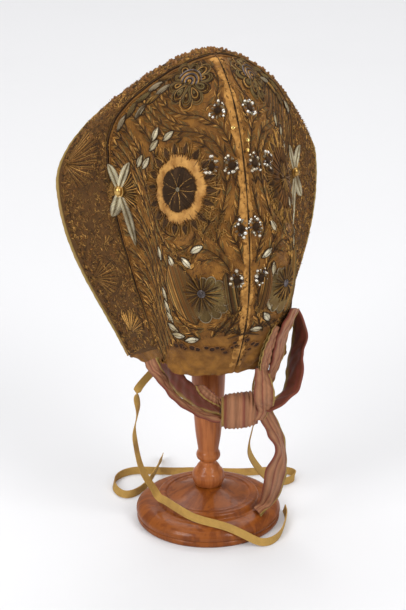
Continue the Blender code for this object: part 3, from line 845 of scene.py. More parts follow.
class BONNET_OT_backs(bpy.types.Operator):
    """Cut the two silk halves of the bonnet's back"""

    bl_idname = "bonnet.backs"
    bl_label = "Back halves"

    def execute(self, context):
        props = context.scene.bonnet_cloth
        material = woven_material("Worn silk", tuple(props.silk), tuple(props.silk_dark), 0.8, 0.5, 0.95,
                                  (0.12, 0.046, 0.008), 105.0)
        bows = np.linspace(0, SEAM_BOW - SEAM_SLIT, 110)
        for name, alongs in (("back_left", np.linspace(-1, -0.001, 84)),
                             ("back_right", np.linspace(0.001, 1, 84))):
            ground(name + "_silk", name, bows, alongs, back_relief, material)
        return {"FINISHED"}


def band_relief(places):
    """The groove beside the side seam and a slight swell in the middle of the band."""
    across = (places[..., 0] - SEAM_BOW) / (1 - SEAM_BOW)
    return 0.5 * np.sin(np.clip(across, 0, 1) * math.pi) - 0.6 * np.exp(-(across / 0.03)**2)


class BONNET_OT_band(bpy.types.Operator):
    """Cut the front band's dark ground cloth"""

    bl_idname = "bonnet.band"
    bl_label = "Front band"

    def execute(self, context):
        props = context.scene.bonnet_cloth
        colour = tuple(props.band)
        material = woven_material("Band ground cloth", colour, tuple(c * 0.5 for c in colour), 0.8, 0.7, 0.4,
                                  tuple(c * 0.6 for c in colour))
        ground("front_band_cloth", "front_band", np.linspace(SEAM_BOW + SEAM_SLIT, 1, 48),
               np.linspace(-1, 1, 210), band_relief, material)
        return {"FINISHED"}


class BONNET_OT_corners(bpy.types.Operator):
    """Cut the plain silk corners below the band's ends"""

    bl_idname = "bonnet.corners"
    bl_label = "Corners"

    def execute(self, context):
        material = MATERIALS["Worn silk"]
        rows, columns = 60, 14
        bows = np.linspace(SEAM_BOW - CORNER_BACK, 1, rows)
        shares = np.linspace(0, 1, columns)
        for name, side in (("corner_left", -1), ("corner_right", 1)):
            ends = np.stack([bows, np.full(rows, float(side))], axis=1)
            inside = np.stack([bows, np.full(rows, side * 15 / 16)], axis=1)
            end, before = CHART.at(ends), CHART.at(inside)
            inward = -WALL * CHART.normal(ends)
            reach = unit(end - before)
            spread = np.where(bows < CORNER_TIP, 2.3, 1.0) * CORNER_SPREAD
            tip = np.clip(1 - np.abs(bows - CORNER_TIP) / spread, 0.12, 1)[:, None]
            lines = np.stack([end + reach * (GAP + CORNER_REACH * tip * share) for share in shares], axis=1)
            wave = 0.35 * np.sin(bows[:, None] * 90 + 2 * shares) * shares
            lines = lines - inward[:, None] / WALL * wave[..., None]
            if side < 0:
                lines = lines[:, ::-1]
            flat = np.stack([np.cumsum(lengths(np.gradient(lines, axis=1)), axis=1),
                             np.repeat(bows[:, None] * 200, columns, axis=1)], axis=2)
            obj = add_cloth(name + "_silk", lines, lines + inward[:, None], flat, material)
            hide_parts(name)
        return {"FINISHED"}


class BONNET_OT_binding(bpy.types.Operator):
    """Roll the pale tape over the face edge"""

    bl_idname = "bonnet.binding"
    bl_label = "Face binding"

    def execute(self, context):
        props = context.scene.bonnet_cloth
        colour = tuple(props.binding)
        material = woven_material("Pale binding", colour, tuple(c * 0.6 for c in colour), 0.7, 0.8, 0.45,
                                  (0.36, 0.22, 0.09))
        count, sides = 420, 12
        alongs = np.linspace(-1, 1, count)
        edge = np.stack([np.ones(count), alongs], axis=1)
        before = np.stack([np.full(count, 1 - 0.36 / 7), alongs], axis=1)
        normal = CHART.normal(edge)
        beyond = unit(CHART.at(edge) - CHART.at(before))
        centre = CHART.at(edge) - normal * WALL / 2 + (BINDING_RADIUS + GAP) * beyond
        size = BINDING_RADIUS * (1 + 0.06 * np.sin(alongs * 260) + 0.05 * np.sin(alongs * 97))
        turns = circle(sides)
        rings = np.stack([centre + size[:, None] * (math.cos(t) * beyond + math.sin(t) * normal)
                          for t in turns], axis=1)
        points, faces = lofted(rings)
        flat = np.stack([np.tile(turns * BINDING_RADIUS, count), np.repeat(alongs * 260, sides)], axis=1)
        obj = add_piece("face_binding_tape", points, faces, material, flat=flat)
        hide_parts("face_binding")
        return {"FINISHED"}


# Ribbons whose half painted dark as fold shade is turned to the front
SHADED_SIDES = ("tie_left_inner", "tie_right_outer")


def folded_ribbon(name, fold, rows, material):
    """A ribbon folded lengthwise, with one layer in front of the other and a round fold between them."""
    count = RIBBON_COLUMNS * len(rows)
    edges = spline(range(len(rows)), rows, np.linspace(0, len(rows) - 1, count))
    near, far = edges[:, :3], edges[:, 3:]
    if fold < 0:
        near, far = far, near
    across = far - near
    along = np.gradient((near + far) / 2, axis=0)
    out = unit(np.cross(along, across))
    if out[:, 1].mean() > 0:
        out = -out
    layers = max(2, round(RIBBON_WIDTH / lengths(across).mean()))
    gap = 2.0 / (layers - 1)
    turn = np.linspace(0, math.pi, FOLD_COLUMNS + 2)[1:-1]
    shares, extra, lift = [], [], []
    for layer in range(layers):
        run = np.linspace(layer % 2, 1 - layer % 2, RIBBON_COLUMNS)
        level = 1.0 - layer * gap
        shares.append(run)
        extra.append(np.zeros(RIBBON_COLUMNS))
        lift.append(level + 0.5 * np.sin(run * math.pi) * (layer == 0))
        if layer < layers - 1:
            shares.append(np.full(FOLD_COLUMNS, run[-1]))
            extra.append((2 * run[-1] - 1) * np.sin(turn) * gap / 2)
            lift.append(level - gap / 2 + np.cos(turn) * gap / 2)
    shares, extra, lift = (np.concatenate(part) for part in (shares, extra, lift))
    station = np.linspace(0, 1, count)
    ripple = 0.5 * np.sin(station * 17 + len(name)) * np.sin(shares[:, None] * 7)
    ripple += 0.35 * np.sin(station * 41 + 2 * shares[:, None] * 5)
    side = unit(across)
    inner_near, inner_across = near + side * gap / 2, across - side * gap
    sheet = [inner_near + inner_across * s + side * e + out * (d + r)[:, None]
             for s, e, d, r in zip(shares, extra, lift[:, None] * np.ones(count), ripple)]
    sheet = np.stack(sheet, axis=1)
    normals = unit(np.cross(np.gradient(sheet, axis=0), np.gradient(sheet, axis=1)))
    half = RIBBON_CLOTH / 2
    width = lengths(np.diff(sheet, axis=1))
    place = np.concatenate([np.zeros((count, 1)), np.cumsum(width, axis=1)], axis=1)
    place = place / place[:, -1:] * RIBBON_WIDTH
    # These ties turn the half painted as fold shade to the front
    if name in SHADED_SIDES:
        place = RIBBON_WIDTH - place
    length = np.concatenate([[0], np.cumsum(lengths(np.diff((near + far) / 2, axis=0)))])
    flat = np.stack([place, np.repeat(length[:, None], place.shape[1], axis=1)], axis=2)
    obj = add_cloth(name + "_silk", sheet - normals * half, sheet + normals * half, flat, material)
    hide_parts(name)


class BONNET_OT_ribbons(bpy.types.Operator):
    """Fold the striped silk ribbon into its ties, turns and tail"""

    bl_idname = "bonnet.ribbons"
    bl_label = "Ribbon ties"

    def execute(self, context):
        props = context.scene.bonnet_cloth
        material = ribbon_material("Striped ribbon", (props.rose, props.fold_shade, props.line, props.selvedge))
        for name, (fold, rows) in RIBBONS.items():
            folded_ribbon(name, fold, rows, material)
        return {"FINISHED"}


class BONNET_OT_knot(bpy.types.Operator):
    """Wrap the ribbon round the ties as a tight knot"""

    bl_idname = "bonnet.knot"
    bl_label = "Knot"

    def execute(self, context):
        rows = spline(range(len(KNOT)), KNOT, np.linspace(0, len(KNOT) - 1, 90))
        sides = 72
        turns = circle(sides)
        cos, sin = np.cos(turns), np.sin(turns)
        size = (np.abs(cos)**KNOT_SQUARENESS + np.abs(sin)**KNOT_SQUARENESS)**(-1 / KNOT_SQUARENESS)
        rings, flat = [], []
        first, last = rows[0, 0], rows[-1, 0]
        for x, y, z, half_height, half_depth in rows:
            share = (x - first) / (last - first)
            drift = share * 9 + 0.25 * np.sin(turns * 2)
            pleat = 0.3 * np.sin(drift * 2 * math.pi) - 0.35 * (1 - np.abs(np.sin(drift * 4.1)))
            pinch = 1 - 0.12 * np.exp(-((share - 0.02) / 0.05)**2)
            wide, high = half_depth * pinch + pleat, half_height * pinch + pleat
            rings.append(np.stack([np.full(sides, x), y + wide * size * cos, z + high * size * sin], axis=1))
            flat.append(np.stack([np.full(sides, 0.5 + share * RIBBON_WIDTH * 0.47), turns * 10], axis=1))
        points, faces = lofted(rings)
        obj = add_piece("knot_silk", points, faces, MATERIALS["Striped ribbon"],
                        flat=np.concatenate(flat))
        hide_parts("knot")
        return {"FINISHED"}


def rounded(outline, times=2):
    """The outline with its corners eased, and its two ends kept."""
    line = np.asarray(outline, float)
    for _ in range(times):
        start, end = line[:-1], line[1:]
        cut = np.stack([start * 0.78 + end * 0.22, start * 0.22 + end * 0.78], axis=1).reshape(-1, 2)
        line = np.concatenate([line[:1], cut[1:-1], line[-1:]])
    return line


class BONNET_OT_stand(bpy.types.Operator):
    """Turn the stand's foot, column and round head"""

    bl_idname = "bonnet.stand"
    bl_label = "Stand"

    def execute(self, context):
        props = context.scene.bonnet_stand
        material = wood_material("Varnished wood", tuple(props.wood), tuple(props.wood_dark))
        # The foot's wood is the stand's wood darkened as painted shade, with less blue so it is more orange
        darker = wood_material("Varnished foot with painted shade", tuple(c * s for c, s in zip(props.wood, (0.62, 0.52, 0.25))),
                               tuple(c * s for c, s in zip(props.wood_dark, (0.55, 0.45, 0.2))))
        turns = circle(props.sides)
        for name, outline in TURNED.items():
            points, faces = lofted([
                np.stack([r * np.cos(turns), r * np.sin(turns), np.full(len(turns), z)], axis=1)
                for r, z in rounded(outline)])
            chosen = darker if name == "stand_foot" else material
            obj = add_piece(name + "_wood", points, faces, chosen, sharp_deg=50)
            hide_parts(name)
        return {"FINISHED"}


# Needlework: every drawing's height, width, tone and jitter follow its lines in that order

RANDOM = np.random.default_rng(7)
SIDES = {"left": 1.0, "right": -1.0}
# How far threads and domes reach down into the cloth, and a thread's rise as a share of its width
SUNK = 0.3
DOME_SUNK = 0.35
THREAD_RISE = 0.75


class Threads:
    """Sewn threads of one kind on one side of the bonnet, made into one mesh of closed strands.

    Places are given on the left half; a mirror of -1 moves them to the right half.
    """

    def __init__(self, mirror):
        self.mirror = np.array([1.0, mirror])
        self.lines = []

    def sew(self, places, height=0.2, width=1.0, tone=0.5):
        """Adds one thread, or a row of places for each of several threads of the same length.

        The height has a number for each place or one for all, and width and tone one for each thread or all.
        """
        places = np.asarray(places, float)
        if places.ndim == 2:
            places = places[None]
        if len(places) == 0 or places.shape[1] < 2:
            return
        count = places.shape[:2]
        self.lines.append((places, np.broadcast_to(np.asarray(height, float), count),
                           np.broadcast_to(np.asarray(width, float), count[:1]),
                           np.broadcast_to(np.asarray(tone, float), count[:1])))

    def draw(self, place, lines, height=0.2, width=1.0, tone=0.5, jitter=0.0):
        """Adds flat lines, drawn in millimetres round a place; a line may bring its own heights."""
        if not lines:
            return
        flat = CHART.lay(place, np.concatenate([line[:, :2] for line in lines]))
        start = 0
        for line in lines:
            places = flat[start:start + len(line)]
            start += len(line)
            own = line[:, 2] if line.shape[1] > 2 else 0.0
            self.sew(places, height + own, width, tone + jitter * (RANDOM.random() - 0.5))

    def make(self, name, material, slot):
        points, faces, tone, start = [], [], [], 0
        for places, heights, widths, tones in self.lines:
            count, length = places.shape[:2]
            places = places * self.mirror
            base = CHART.at(places, heights)
            normal = CHART.normal(places)
            tangent = unit(np.gradient(base, axis=1))
            side = np.cross(tangent, normal)
            ends = np.ones(length)
            ends[[0, -1]] = 0.45
            half = side * (widths[:, None] / 2 * ends)[..., None]
            top = normal * (widths[:, None] * THREAD_RISE * ends)[..., None]
            ring = np.stack([base - half - normal * SUNK, base + top, base + half - normal * SUNK], axis=2)
            first = start + np.arange(count)[:, None] * length * 3 + np.arange(length - 1) * 3
            for a, b in ((0, 1), (1, 2), (2, 0)):
                quads = np.stack([first + a, first + b, first + b + 3, first + a + 3], axis=2)
                faces += quads.reshape(-1, 4).tolist()
            head = start + np.arange(count) * length * 3
            tail = head + (length - 1) * 3
            faces += np.stack([head, head + 2, head + 1], axis=1).tolist()
            faces += np.stack([tail, tail + 1, tail + 2], axis=1).tolist()
            points.append(ring.reshape(-1, 3))
            tone.append(np.repeat(tones, length * 3))
            start += count * length * 3
        add_piece(name, np.concatenate(points), faces, material, sharp_deg=0,
                  tone=np.concatenate(tone))


class Domes:
    """Small raised shapes of one kind, such as leaves of metal strip, beads and padded cloth."""

    def __init__(self, mirror):
        self.mirror = np.array([1.0, mirror])
        self.points, self.faces, self.tone, self.count = [], [], [], 0

    def add(self, place, outline, height, base=0.2, tone=0.5, levels=((0.8, 0.6), (0.45, 0.92)), bump=0.0):
        """One closed dome over a flat outline in millimetres, which runs anticlockwise.

        Each level is a share of the outline's size and of the height.
        """
        outline = np.asarray(outline, float)
        sides = len(outline)
        middle = outline.mean(axis=0)
        rings, lifts = [outline], [np.full(sides, base)]
        for share, lift in levels:
            rings.append(middle + (outline - middle) * share)
            lifts.append(base + height * lift + bump * (RANDOM.random(sides) - 0.5))
        rings.append(middle[None])
        lifts.append(np.array([base + height]))
        places = CHART.lay(place, np.concatenate(rings)) * self.mirror
        top = CHART.at(places, np.concatenate(lifts))
        below = CHART.at(places[:sides], np.full(sides, -DOME_SUNK))
        around = np.arange(sides)
        ahead = (around + 1) % sides
        count = len(levels) + 1
        faces = []
        for level in range(count - 1):
            low, high = level * sides, (level + 1) * sides
            faces += np.stack([low + around, low + ahead, high + ahead, high + around], axis=1).tolist()
        peak = count * sides
        last, under = peak - sides, peak + 1
        faces += np.stack([last + around, last + ahead, np.full(sides, peak)], axis=1).tolist()
        faces += np.stack([under + around, under + ahead, ahead, around], axis=1).tolist()
        faces.append((under + around[::-1]).tolist())
        if self.mirror[1] < 0:
            faces = [face[::-1] for face in faces]
        self.faces += [[index + self.count for index in face] for face in faces]
        self.points += [top, below]
        self.tone.append(np.full(len(top) + sides, tone))
        self.count += len(top) + sides

    def make(self, name, material, slot, sharp_deg=60.0):
        return add_piece(name, np.concatenate(self.points), self.faces, material, sharp_deg=sharp_deg,
                         tone=np.concatenate(self.tone))


def turned_flat(points, degrees, x=0.0, y=0.0):
    """A flat drawing turned anticlockwise and moved."""
    points = np.asarray(points, float)
    t = math.radians(degrees)
    xy = points[:, :2] @ np.array([[math.cos(t), math.sin(t)], [-math.sin(t), math.cos(t)]])
    return np.concatenate([xy + np.array([x, y]), points[:, 2:]], axis=1)


def lens(length, width, blunt=0.8, sides=18):
    """A leaf's outline, from its base at the origin along +X."""
    t = np.linspace(0, 1, sides // 2 + 1)
    half = width / 2 * np.sin(math.pi * t)**blunt
    low = np.stack([length * t, -half], axis=1)
    high = np.stack([length * t, half], axis=1)[::-1]
    return np.concatenate([low[:-1], high[:-1]])


def teardrop(length, width, sides=20):
    """A petal's outline, narrow at the origin and round at its far end."""
    t = circle(sides)
    along = (1 - np.cos(t)) / 2
    return np.stack([length * along, -width * 0.57 * np.sin(t) * along**0.55], axis=1)


def disc(radius, high=None, sides=16):
    t = circle(sides)
    return np.stack([radius * np.cos(t), (high or radius) * np.sin(t)], axis=1)


def polar(radians, right, up=None):
    """The flat point of an ellipse at a turn round its centre."""
    return right * math.cos(radians), (up or right) * math.sin(radians)


def satin(outline, degrees, spacing, pad=0.5, step=2.2):
    """Parallel stitches that fill an outline, each with its own heights over the padding."""
    shape = turned_flat(outline, -degrees)
    ahead = np.roll(shape, -1, axis=0)
    lines = []
    low, high = shape[:, 1].min(), shape[:, 1].max()
    for y in np.arange(low + spacing / 2, high, spacing):
        hit = (shape[:, 1] <= y) != (ahead[:, 1] <= y)
        a, b = shape[hit], ahead[hit]
        x = np.sort(a[:, 0] + (y - a[:, 1]) * (b[:, 0] - a[:, 0]) / (b[:, 1] - a[:, 1]))
        edge = 1 - abs(2 * (y - low) / (high - low) - 1)**3
        for start, end in zip(x[::2], x[1::2]):
            if end - start < 0.7:
                continue
            t = np.linspace(0, 1, max(3, math.ceil((end - start) / step) + 1))
            rise = pad * edge * np.sqrt(np.maximum(0.02, 1 - (2 * t - 1)**2))
            lines.append(turned_flat(np.stack([start + (end - start) * t, np.full(len(t), y), rise], axis=1),
                                     degrees))
    return lines


def loop(outline):
    """An outline as a closed line."""
    return np.concatenate([outline, outline[:2]])


def ray(degrees, near, far, bend=0.0, count=5, x=0.0, y=0.0):
    """A line that runs outward in one direction and bends sideways by a share of its length."""
    t = np.linspace(0, 1, count)
    reach = near + (far - near) * t
    return turned_flat(np.stack([reach, bend * (far - near) * t * t], axis=1), degrees, x, y)


def size_at(places):
    """Millimetres for one whole step of bow and of along at the places."""
    return np.stack([np.maximum(lengths(CHART.read(grid, places)), 40)
                     for grid in (CHART.by_bow, CHART.by_along)], axis=-1)


def walk(starts, heading, steps, step):
    """Lines of places that set out from the starts and follow a heading, in radians from +along.

    The heading is a function of the places reached and of how many steps have been made.
    """
    rows = [np.asarray(starts, float)]
    for index in range(steps):
        here = rows[-1]
        angle = heading(here, index)
        rows.append(here + np.stack([np.sin(angle), np.cos(angle)], axis=-1) * step / size_at(here))
    return np.stack(rows, axis=1)


def offset_from(places, centre):
    """The places as flat complex numbers round a centre: millimetres to its right, and up as imaginary."""
    size = size_at(np.asarray(centre, float))
    off = (np.asarray(places) - np.asarray(centre)) * size
    return off[..., 1] + 1j * off[..., 0]


# Where the motifs are sewn, as bow and along on the left half, which the right one mirrors
MEDALLION = (0.396, -0.272)
ROSETTE = (0.21, -0.30)
CROWN_ROSETTE = (0.57, -0.10)
BOSSES = {"left": (0.60, -0.53), "right": (0.68, -0.55)}
BEAD_FLOWERS = (
    (0.485, -0.055), (0.39, -0.045), (0.40, -0.12), (0.295, -0.035), (0.215, -0.075),
)
# The parts that the ferns keep off, with their radius in millimetres
CLEARINGS = (
    (MEDALLION, 31.0), ((0.20, -0.33), 24.0), (CROWN_ROSETTE, 18.0), (BOSSES["left"], 8.0),
    *((place, 5.5) for place in BEAD_FLOWERS),
)
# Metal leaves on each half and satin leaves below the crown, as bow, along and degrees
SILVER_LEAVES = (
    (0.510, -0.378, 68), (0.492, -0.362, 60), (0.500, -0.300, 55), (0.515, -0.275, 74), (0.492, -0.238, 48),
    (0.345, -0.505, -62), (0.297, -0.435, -52), (0.276, -0.347, -36), (0.288, -0.270, 34),
    (0.268, -0.590, -62), (0.236, -0.612, -56), (0.205, -0.620, -48), (0.168, -0.625, -20),
    (0.136, -0.590, 4), (0.112, -0.468, 18),
)
RIGHT_LEAVES = (
    (0.500, -0.225, 118), (0.492, -0.275, 140), (0.466, -0.305, 128), (0.365, -0.33, 100),
    (0.300, -0.15, 60), (0.255, -0.11, 155), (0.230, -0.17, 95), (0.185, -0.21, 60), (0.165, -0.18, 65),
    (0.140, -0.18, 50), (0.115, -0.10, 5), (0.345, -0.47, -62), (0.303, -0.405, -55),
)
CROWN_LEAVES = (
    (0.612, -0.335, 64), (0.610, -0.285, 60), (0.612, -0.235, 52), (0.616, -0.190, 42), (0.620, -0.148, 33),
    (0.585, -0.270, 58), (0.588, -0.220, 50), (0.592, -0.178, 40),
)
EYELETS = (
    (0.106, -0.66), (0.102, -0.60), (0.094, -0.54), (0.090, -0.48), (0.086, -0.42), (0.083, -0.36),
    (0.080, -0.30), (0.078, -0.24), (0.076, -0.17), (0.078, -0.10), (0.090, -0.055),
)
# The feather leaves beside a boss, as degrees, length, width and bend
FEATHERS = ((112, 22, 7.5, 0.10), (74, 27, 7.0, -0.14), (-96, 21, 9.0, -0.10), (-62, 44, 7.5, -0.06))
ROSETTE_BUNDLES = ((50, 25, -66, -25, 20), (34, 11, -82, 17, 17))
ROSETTE_PETALS = (
    (70, 16, 8), (44, 17, 9), (16, 17, 9), (-12, 17, 9), (-38, 18, 9), (-62, 19, 9), (-92, 21, 11),
    (-118, 20, 10), (98, 14, 8),
)
CROWN_PETALS = (
    (-118, 19, 11), (-82, 21, 12), (-48, 19, 11), (-10, 17, 10), (28, 18, 10), (62, 18, 10), (98, 18, 11),
    (135, 18, 11), (172, 18, 11), (208, 18, 11),
)
STRIP_REACH = {"left": 5.0, "right": 2.4}
SEQUINS = {"left": ((0.447, -0.020),), "right": ((0.425, -0.022), (0.409, -0.017))}
PURL_PATCHES = (((0.283, -0.37), 9.0), ((0.315, -0.17), 12.0), ((0.245, -0.42), 8.0), ((0.16, -0.10), 6.0))
# The embroidered silk's lowest and highest bow, and its end along each bow
SEWN_LOW, SEWN_HIGH, SEWN_END = 0.105, 0.632, -0.985
STEM_SEEDS = 2600
STEM_POINTS = 180
STEM_GAP = 6.2
STEM_STEP = 1.25
STEM_CLOSEST = 0.62
FILL_STITCHES = 4800
SEAM_STITCHES = 150


def current(places):
    """The heading of a smooth current that runs up the bonnet and parts round every motif."""
    flow = np.full(places.shape[:-1], -1j, complex)
    for centre, radius in CLEARINGS:
        z = offset_from(places, centre)
        flow = flow - 1j * radius**2 / np.where(np.abs(z) < radius, radius * np.exp(1j * np.angle(z)), z)**2
    return np.arctan2(-flow.imag, flow.real)


def is_clear(places, margin=0.0):
    """True where a place is on the embroidered silk and in no motif."""
    size = size_at(places)
    good = (places[..., 0] > SEWN_LOW) & (places[..., 0] < SEWN_HIGH) & (places[..., 1] > SEWN_END)
    good &= -places[..., 1] * size[..., 1] > 4.2
    for centre, radius in CLEARINGS:
        good &= np.abs(offset_from(places, centre)) > radius + margin
    return good


# Each thread's material: name, dark, light and tarnished colours, roughness and how metallic it is
THREADS = {
    "dark": ("Dark silk thread", (0.022, 0.011, 0.005), (0.14, 0.065, 0.022), (0.055, 0.028, 0.011),
             0.6, 0.0),
    "rust": ("Rust silk thread", (0.13, 0.052, 0.013), (0.36, 0.16, 0.035), (0.19, 0.08, 0.02), 0.5, 0.0),
    "olive": ("Olive satin thread", (0.1, 0.066, 0.02), (0.36, 0.25, 0.09), (0.17, 0.1, 0.035), 0.45, 0.1),
    "silver": ("Silver thread", (0.12, 0.08, 0.04), (0.78, 0.7, 0.48), (0.3, 0.23, 0.14), 0.4, 0.35),
    "violet": ("Violet purl", (0.1, 0.085, 0.09), (0.32, 0.28, 0.3), (0.17, 0.14, 0.13), 0.3, 0.7),
}
# The same for beads, leaves and eyelets
TRIMS = {
    "plates": ("Silvery leaf strip", (0.3, 0.24, 0.13), (0.8, 0.74, 0.56), (0.4, 0.31, 0.16), 0.4, 0.35),
    "beads": ("Silver beads", (0.5, 0.45, 0.36), (0.9, 0.88, 0.82), (0.5, 0.42, 0.3), 0.22, 0.75),
    "sequins": ("Gold sequins", (0.6, 0.4, 0.12), (0.95, 0.72, 0.3), (0.6, 0.36, 0.1), 0.25, 0.9),
    "holes": ("Eyelet shade", (0.02, 0.009, 0.005), (0.06, 0.026, 0.012), (0.03, 0.013, 0.007), 0.8, 0.0),
}
TRIM_SLOTS = {
    "plates": "embroidery", "beads": "embroidery", "sequins": "brass", "holes": "silk", "padding": "silk",
}


class Kit:
    """The threads, beads and metal leaves of one side."""

    def __init__(self, mirror):
        for kind in ("gold", *THREADS):
            setattr(self, kind, Threads(mirror))
        for kind in TRIM_SLOTS:
            setattr(self, kind, Domes(mirror))


class Current:
    """The current's heading and the clear silk, read quickly from a grid over the left half."""

    CELLS = 240

    def __init__(self):
        bows, alongs = np.linspace(0, 1, self.CELLS + 1), np.linspace(-1, 0, self.CELLS + 1)
        places = np.stack(np.meshgrid(bows, alongs, indexing="ij"), axis=2)
        self.heading = current(places)
        self.clear = is_clear(places)
        self.points = CHART.at(places)
        self.size = size_at(places)

    def index(self, place):
        return tuple(min(self.CELLS, max(0, round(x * self.CELLS))) for x in (place[0], place[1] + 1))

    def stems(self, gap, step):
        """Lines that follow the current and keep about a gap from each other, grown both ways from seeds."""
        random = np.random.default_rng(11)
        taken = np.full((1, 3), 1e6)
        lines = []
        for seed in random.uniform((SEWN_LOW, SEWN_END), (SEWN_HIGH, 0.0), (STEM_SEEDS, 2)):
            here = self.index(seed)
            if not self.clear[here] or lengths(taken - self.points[here]).min() < gap:
                continue
            halves = []
            for way in (1, -1):
                place, run = seed, []
                for _ in range(STEM_POINTS):
                    here = self.index(place)
                    angle = self.heading[here]
                    move = np.array([math.sin(angle), math.cos(angle)]) * way * step / self.size[here]
                    place = place + move
                    here = self.index(place)
                    if not self.clear[here] or lengths(taken - self.points[here]).min() < gap * STEM_CLOSEST:
                        break
                    run.append(place)
                halves.append(run)
            line = np.array(halves[1][::-1] + [seed] + halves[0])
            if len(line) > 5:
                lines.append(line)
                taken = np.concatenate([taken, CHART.at(line)])
        return lines


def filling(kit):
    """Short stitches that cover the silk between and below the motifs."""
    starts = RANDOM.uniform((0.1, -0.99), (SEWN_HIGH, -0.015), (FILL_STITCHES, 2))
    starts = starts[is_clear(starts, -9.0)]
    lean = RANDOM.normal(0, 0.55, len(starts))
    lines = walk(starts, lambda here, index: current(here) + lean * (1 - 0.6 * index), 2,
                 RANDOM.uniform(1.2, 2.0, (len(starts), 1)))
    kind = RANDOM.random(len(lines))
    for threads, low, high in ((kit.gold, 0.0, 0.38), (kit.rust, 0.38, 0.74), (kit.dark, 0.74, 1.0)):
        chosen = lines[(kind >= low) & (kind < high)]
        threads.sew(chosen, 0.02, RANDOM.uniform(0.5, 0.75, len(chosen)), RANDOM.random(len(chosen))**1.4)


def ferns(kit, stems):
    """Fern sprays that fill the silk between the motifs, with barbs in turns of dark, gold and rust."""
    kinds = (kit.dark, kit.gold, kit.rust, kit.gold, kit.rust, kit.olive, kit.gold, kit.rust)
    roots = {phase: [] for phase in range(len(kinds))}
    for stem in stems:
        kit.dark.sew(stem[::2], 0.5, 0.7, 0.2)
        offset = RANDOM.integers(len(kinds))
        for k, place in enumerate(stem):
            roots[(k // 2 + offset) % len(kinds)].append(place)
    for phase, threads in enumerate(kinds):
        for turn in (-1, 1):
            starts = np.array(roots[phase])
            reach = RANDOM.uniform(0.8, 1.3, (len(starts), 1)) * STEM_GAP * 0.31
            lean = math.radians(36) * turn
            barbs = walk(starts, lambda here, index: current(here) - lean * (1.15 - 0.3 * index), 3, reach)
            clear = is_clear(barbs, -1.5)
            for length, chosen in ((4, clear.all(axis=1)), (3, clear[:, :3].all(axis=1) & ~clear[:, 3])):
                lines = barbs[chosen][:, :length]
                threads.sew(lines, RANDOM.uniform(0.1, 0.35, (len(lines), 1)),
                            RANDOM.uniform(0.5, 0.78, len(lines)), RANDOM.random(len(lines))**1.4)


def quiet_middle(kit):
    """The medallion's middle as dark and rust rays."""
    rays = [ray(turn, RANDOM.uniform(9, 13), RANDOM.uniform(21, 27), 0.1, 4)
            for turn in np.arange(0, 360, 4.2)]
    kit.rust.draw(MEDALLION, rays, 0.6, 0.9, 0.4, 0.9)
    kit.dark.draw(MEDALLION, rays[::3], 1.1, 0.7, 0.5, 0.5)
    rays = [ray(turn, 1.5, RANDOM.uniform(8, 13), 0.2, 4) for turn in np.arange(0, 360, 9.0)]
    kit.dark.draw(MEDALLION, rays, 0.7, 0.8, 0.6, 0.6)
    kit.gold.draw(MEDALLION, rays[::3], 1.0, 0.6, 0.2, 0.4)


def flower_middle(kit):
    """The medallion's middle as a dark flower of six petals on a pale padded ring."""
    t = circle(72)
    wave = 1 + 0.035 * np.sin(7 * t + 0.5) + 0.03 * np.sin(13 * t) + 0.015 * np.sin(31 * t)
    levels = ((0.96, 0.5), (0.89, 0.9), (0.81, 1.0), (0.73, 0.95), (0.66, 0.8), (0.58, 0.6))
    kit.padding.add(MEDALLION, disc(21.8, 24.8, 72) * wave[:, None], 1.9, base=0.3, levels=levels, bump=1.1)
    edge = [ray(turn, RANDOM.uniform(18.5, 22), 25.5, 0.1, 3) for turn in np.arange(0, 360, 5.1)]
    kit.rust.draw(MEDALLION, edge, 1.6, 0.7, 0.3, 0.7)
    kit.dark.draw(MEDALLION, edge[::3], 1.9, 0.6, 0.5, 0.5)
    edge = [ray(turn, 13.5, 15.5 + 2 * RANDOM.random(), 0.05, 3) for turn in np.arange(0, 360, 8.7)]
    kit.rust.draw(MEDALLION, edge, 2.0, 0.6, 0.3, 0.7)
    for turn, side in zip(range(28, 388, 60), (-1, 1) * 3):
        petal = turned_flat(teardrop(15.8, 17.0), turn) * np.array([0.95, 1.04])
        lines = satin(petal, turn, 0.8, 0.9)
        kit.dark.draw(MEDALLION, lines, 2.0, 0.95, 0.35, 0.6)
        kit.rust.draw(MEDALLION, lines[1::4], 2.2, 0.6, 0.2, 0.4)
        kit.gold.draw(MEDALLION, [ray(turn + 28, 2.0, 13.8, 0.22 * side, 6)], 3.0, 0.6, 0.6)
        kit.gold.draw(MEDALLION, [ray(turn + 12 * side, 4.0, 10.5, -0.3 * side, 5)], 3.1, 0.5, 0.3)
    kit.silver.draw(MEDALLION, [loop(disc(r, sides=8)) for r in (0.6, 1.3)], 3.1, 0.6, 0.4)


def medallion(kit, quiet):
    """The large round motif: its middle, with dark drops and gold rays round it."""
    (quiet_middle if quiet else flower_middle)(kit)
    for k in range(18):
        turn = 20 * k + 8 + RANDOM.uniform(-2.5, 2.5)
        drop = teardrop(RANDOM.uniform(8.2, 10.4), RANDOM.uniform(5.6, 7.2))
        drop = turned_flat(drop, turn + 180, *polar(math.radians(turn), 30.0, 33.5))
        lines = satin(drop, turn, 0.85, 0.8)
        kit.dark.draw(MEDALLION, lines, 0.7, 0.95, 0.45, 0.8)
        kit.rust.draw(MEDALLION, lines[1::3], 0.9, 0.7, 0.4, 0.5)
        kit.gold.draw(MEDALLION, [loop(drop)], 1.0, 0.65, 0.3, 0.4)
        rays = [ray(turn + 10 + spread, 22.0, RANDOM.uniform(29, 34), 0.05 * spread)
                for spread in (-4, -1, 2, 5)]
        kit.gold.draw(MEDALLION, rays, 0.7, 0.65, 0.4, 0.7)


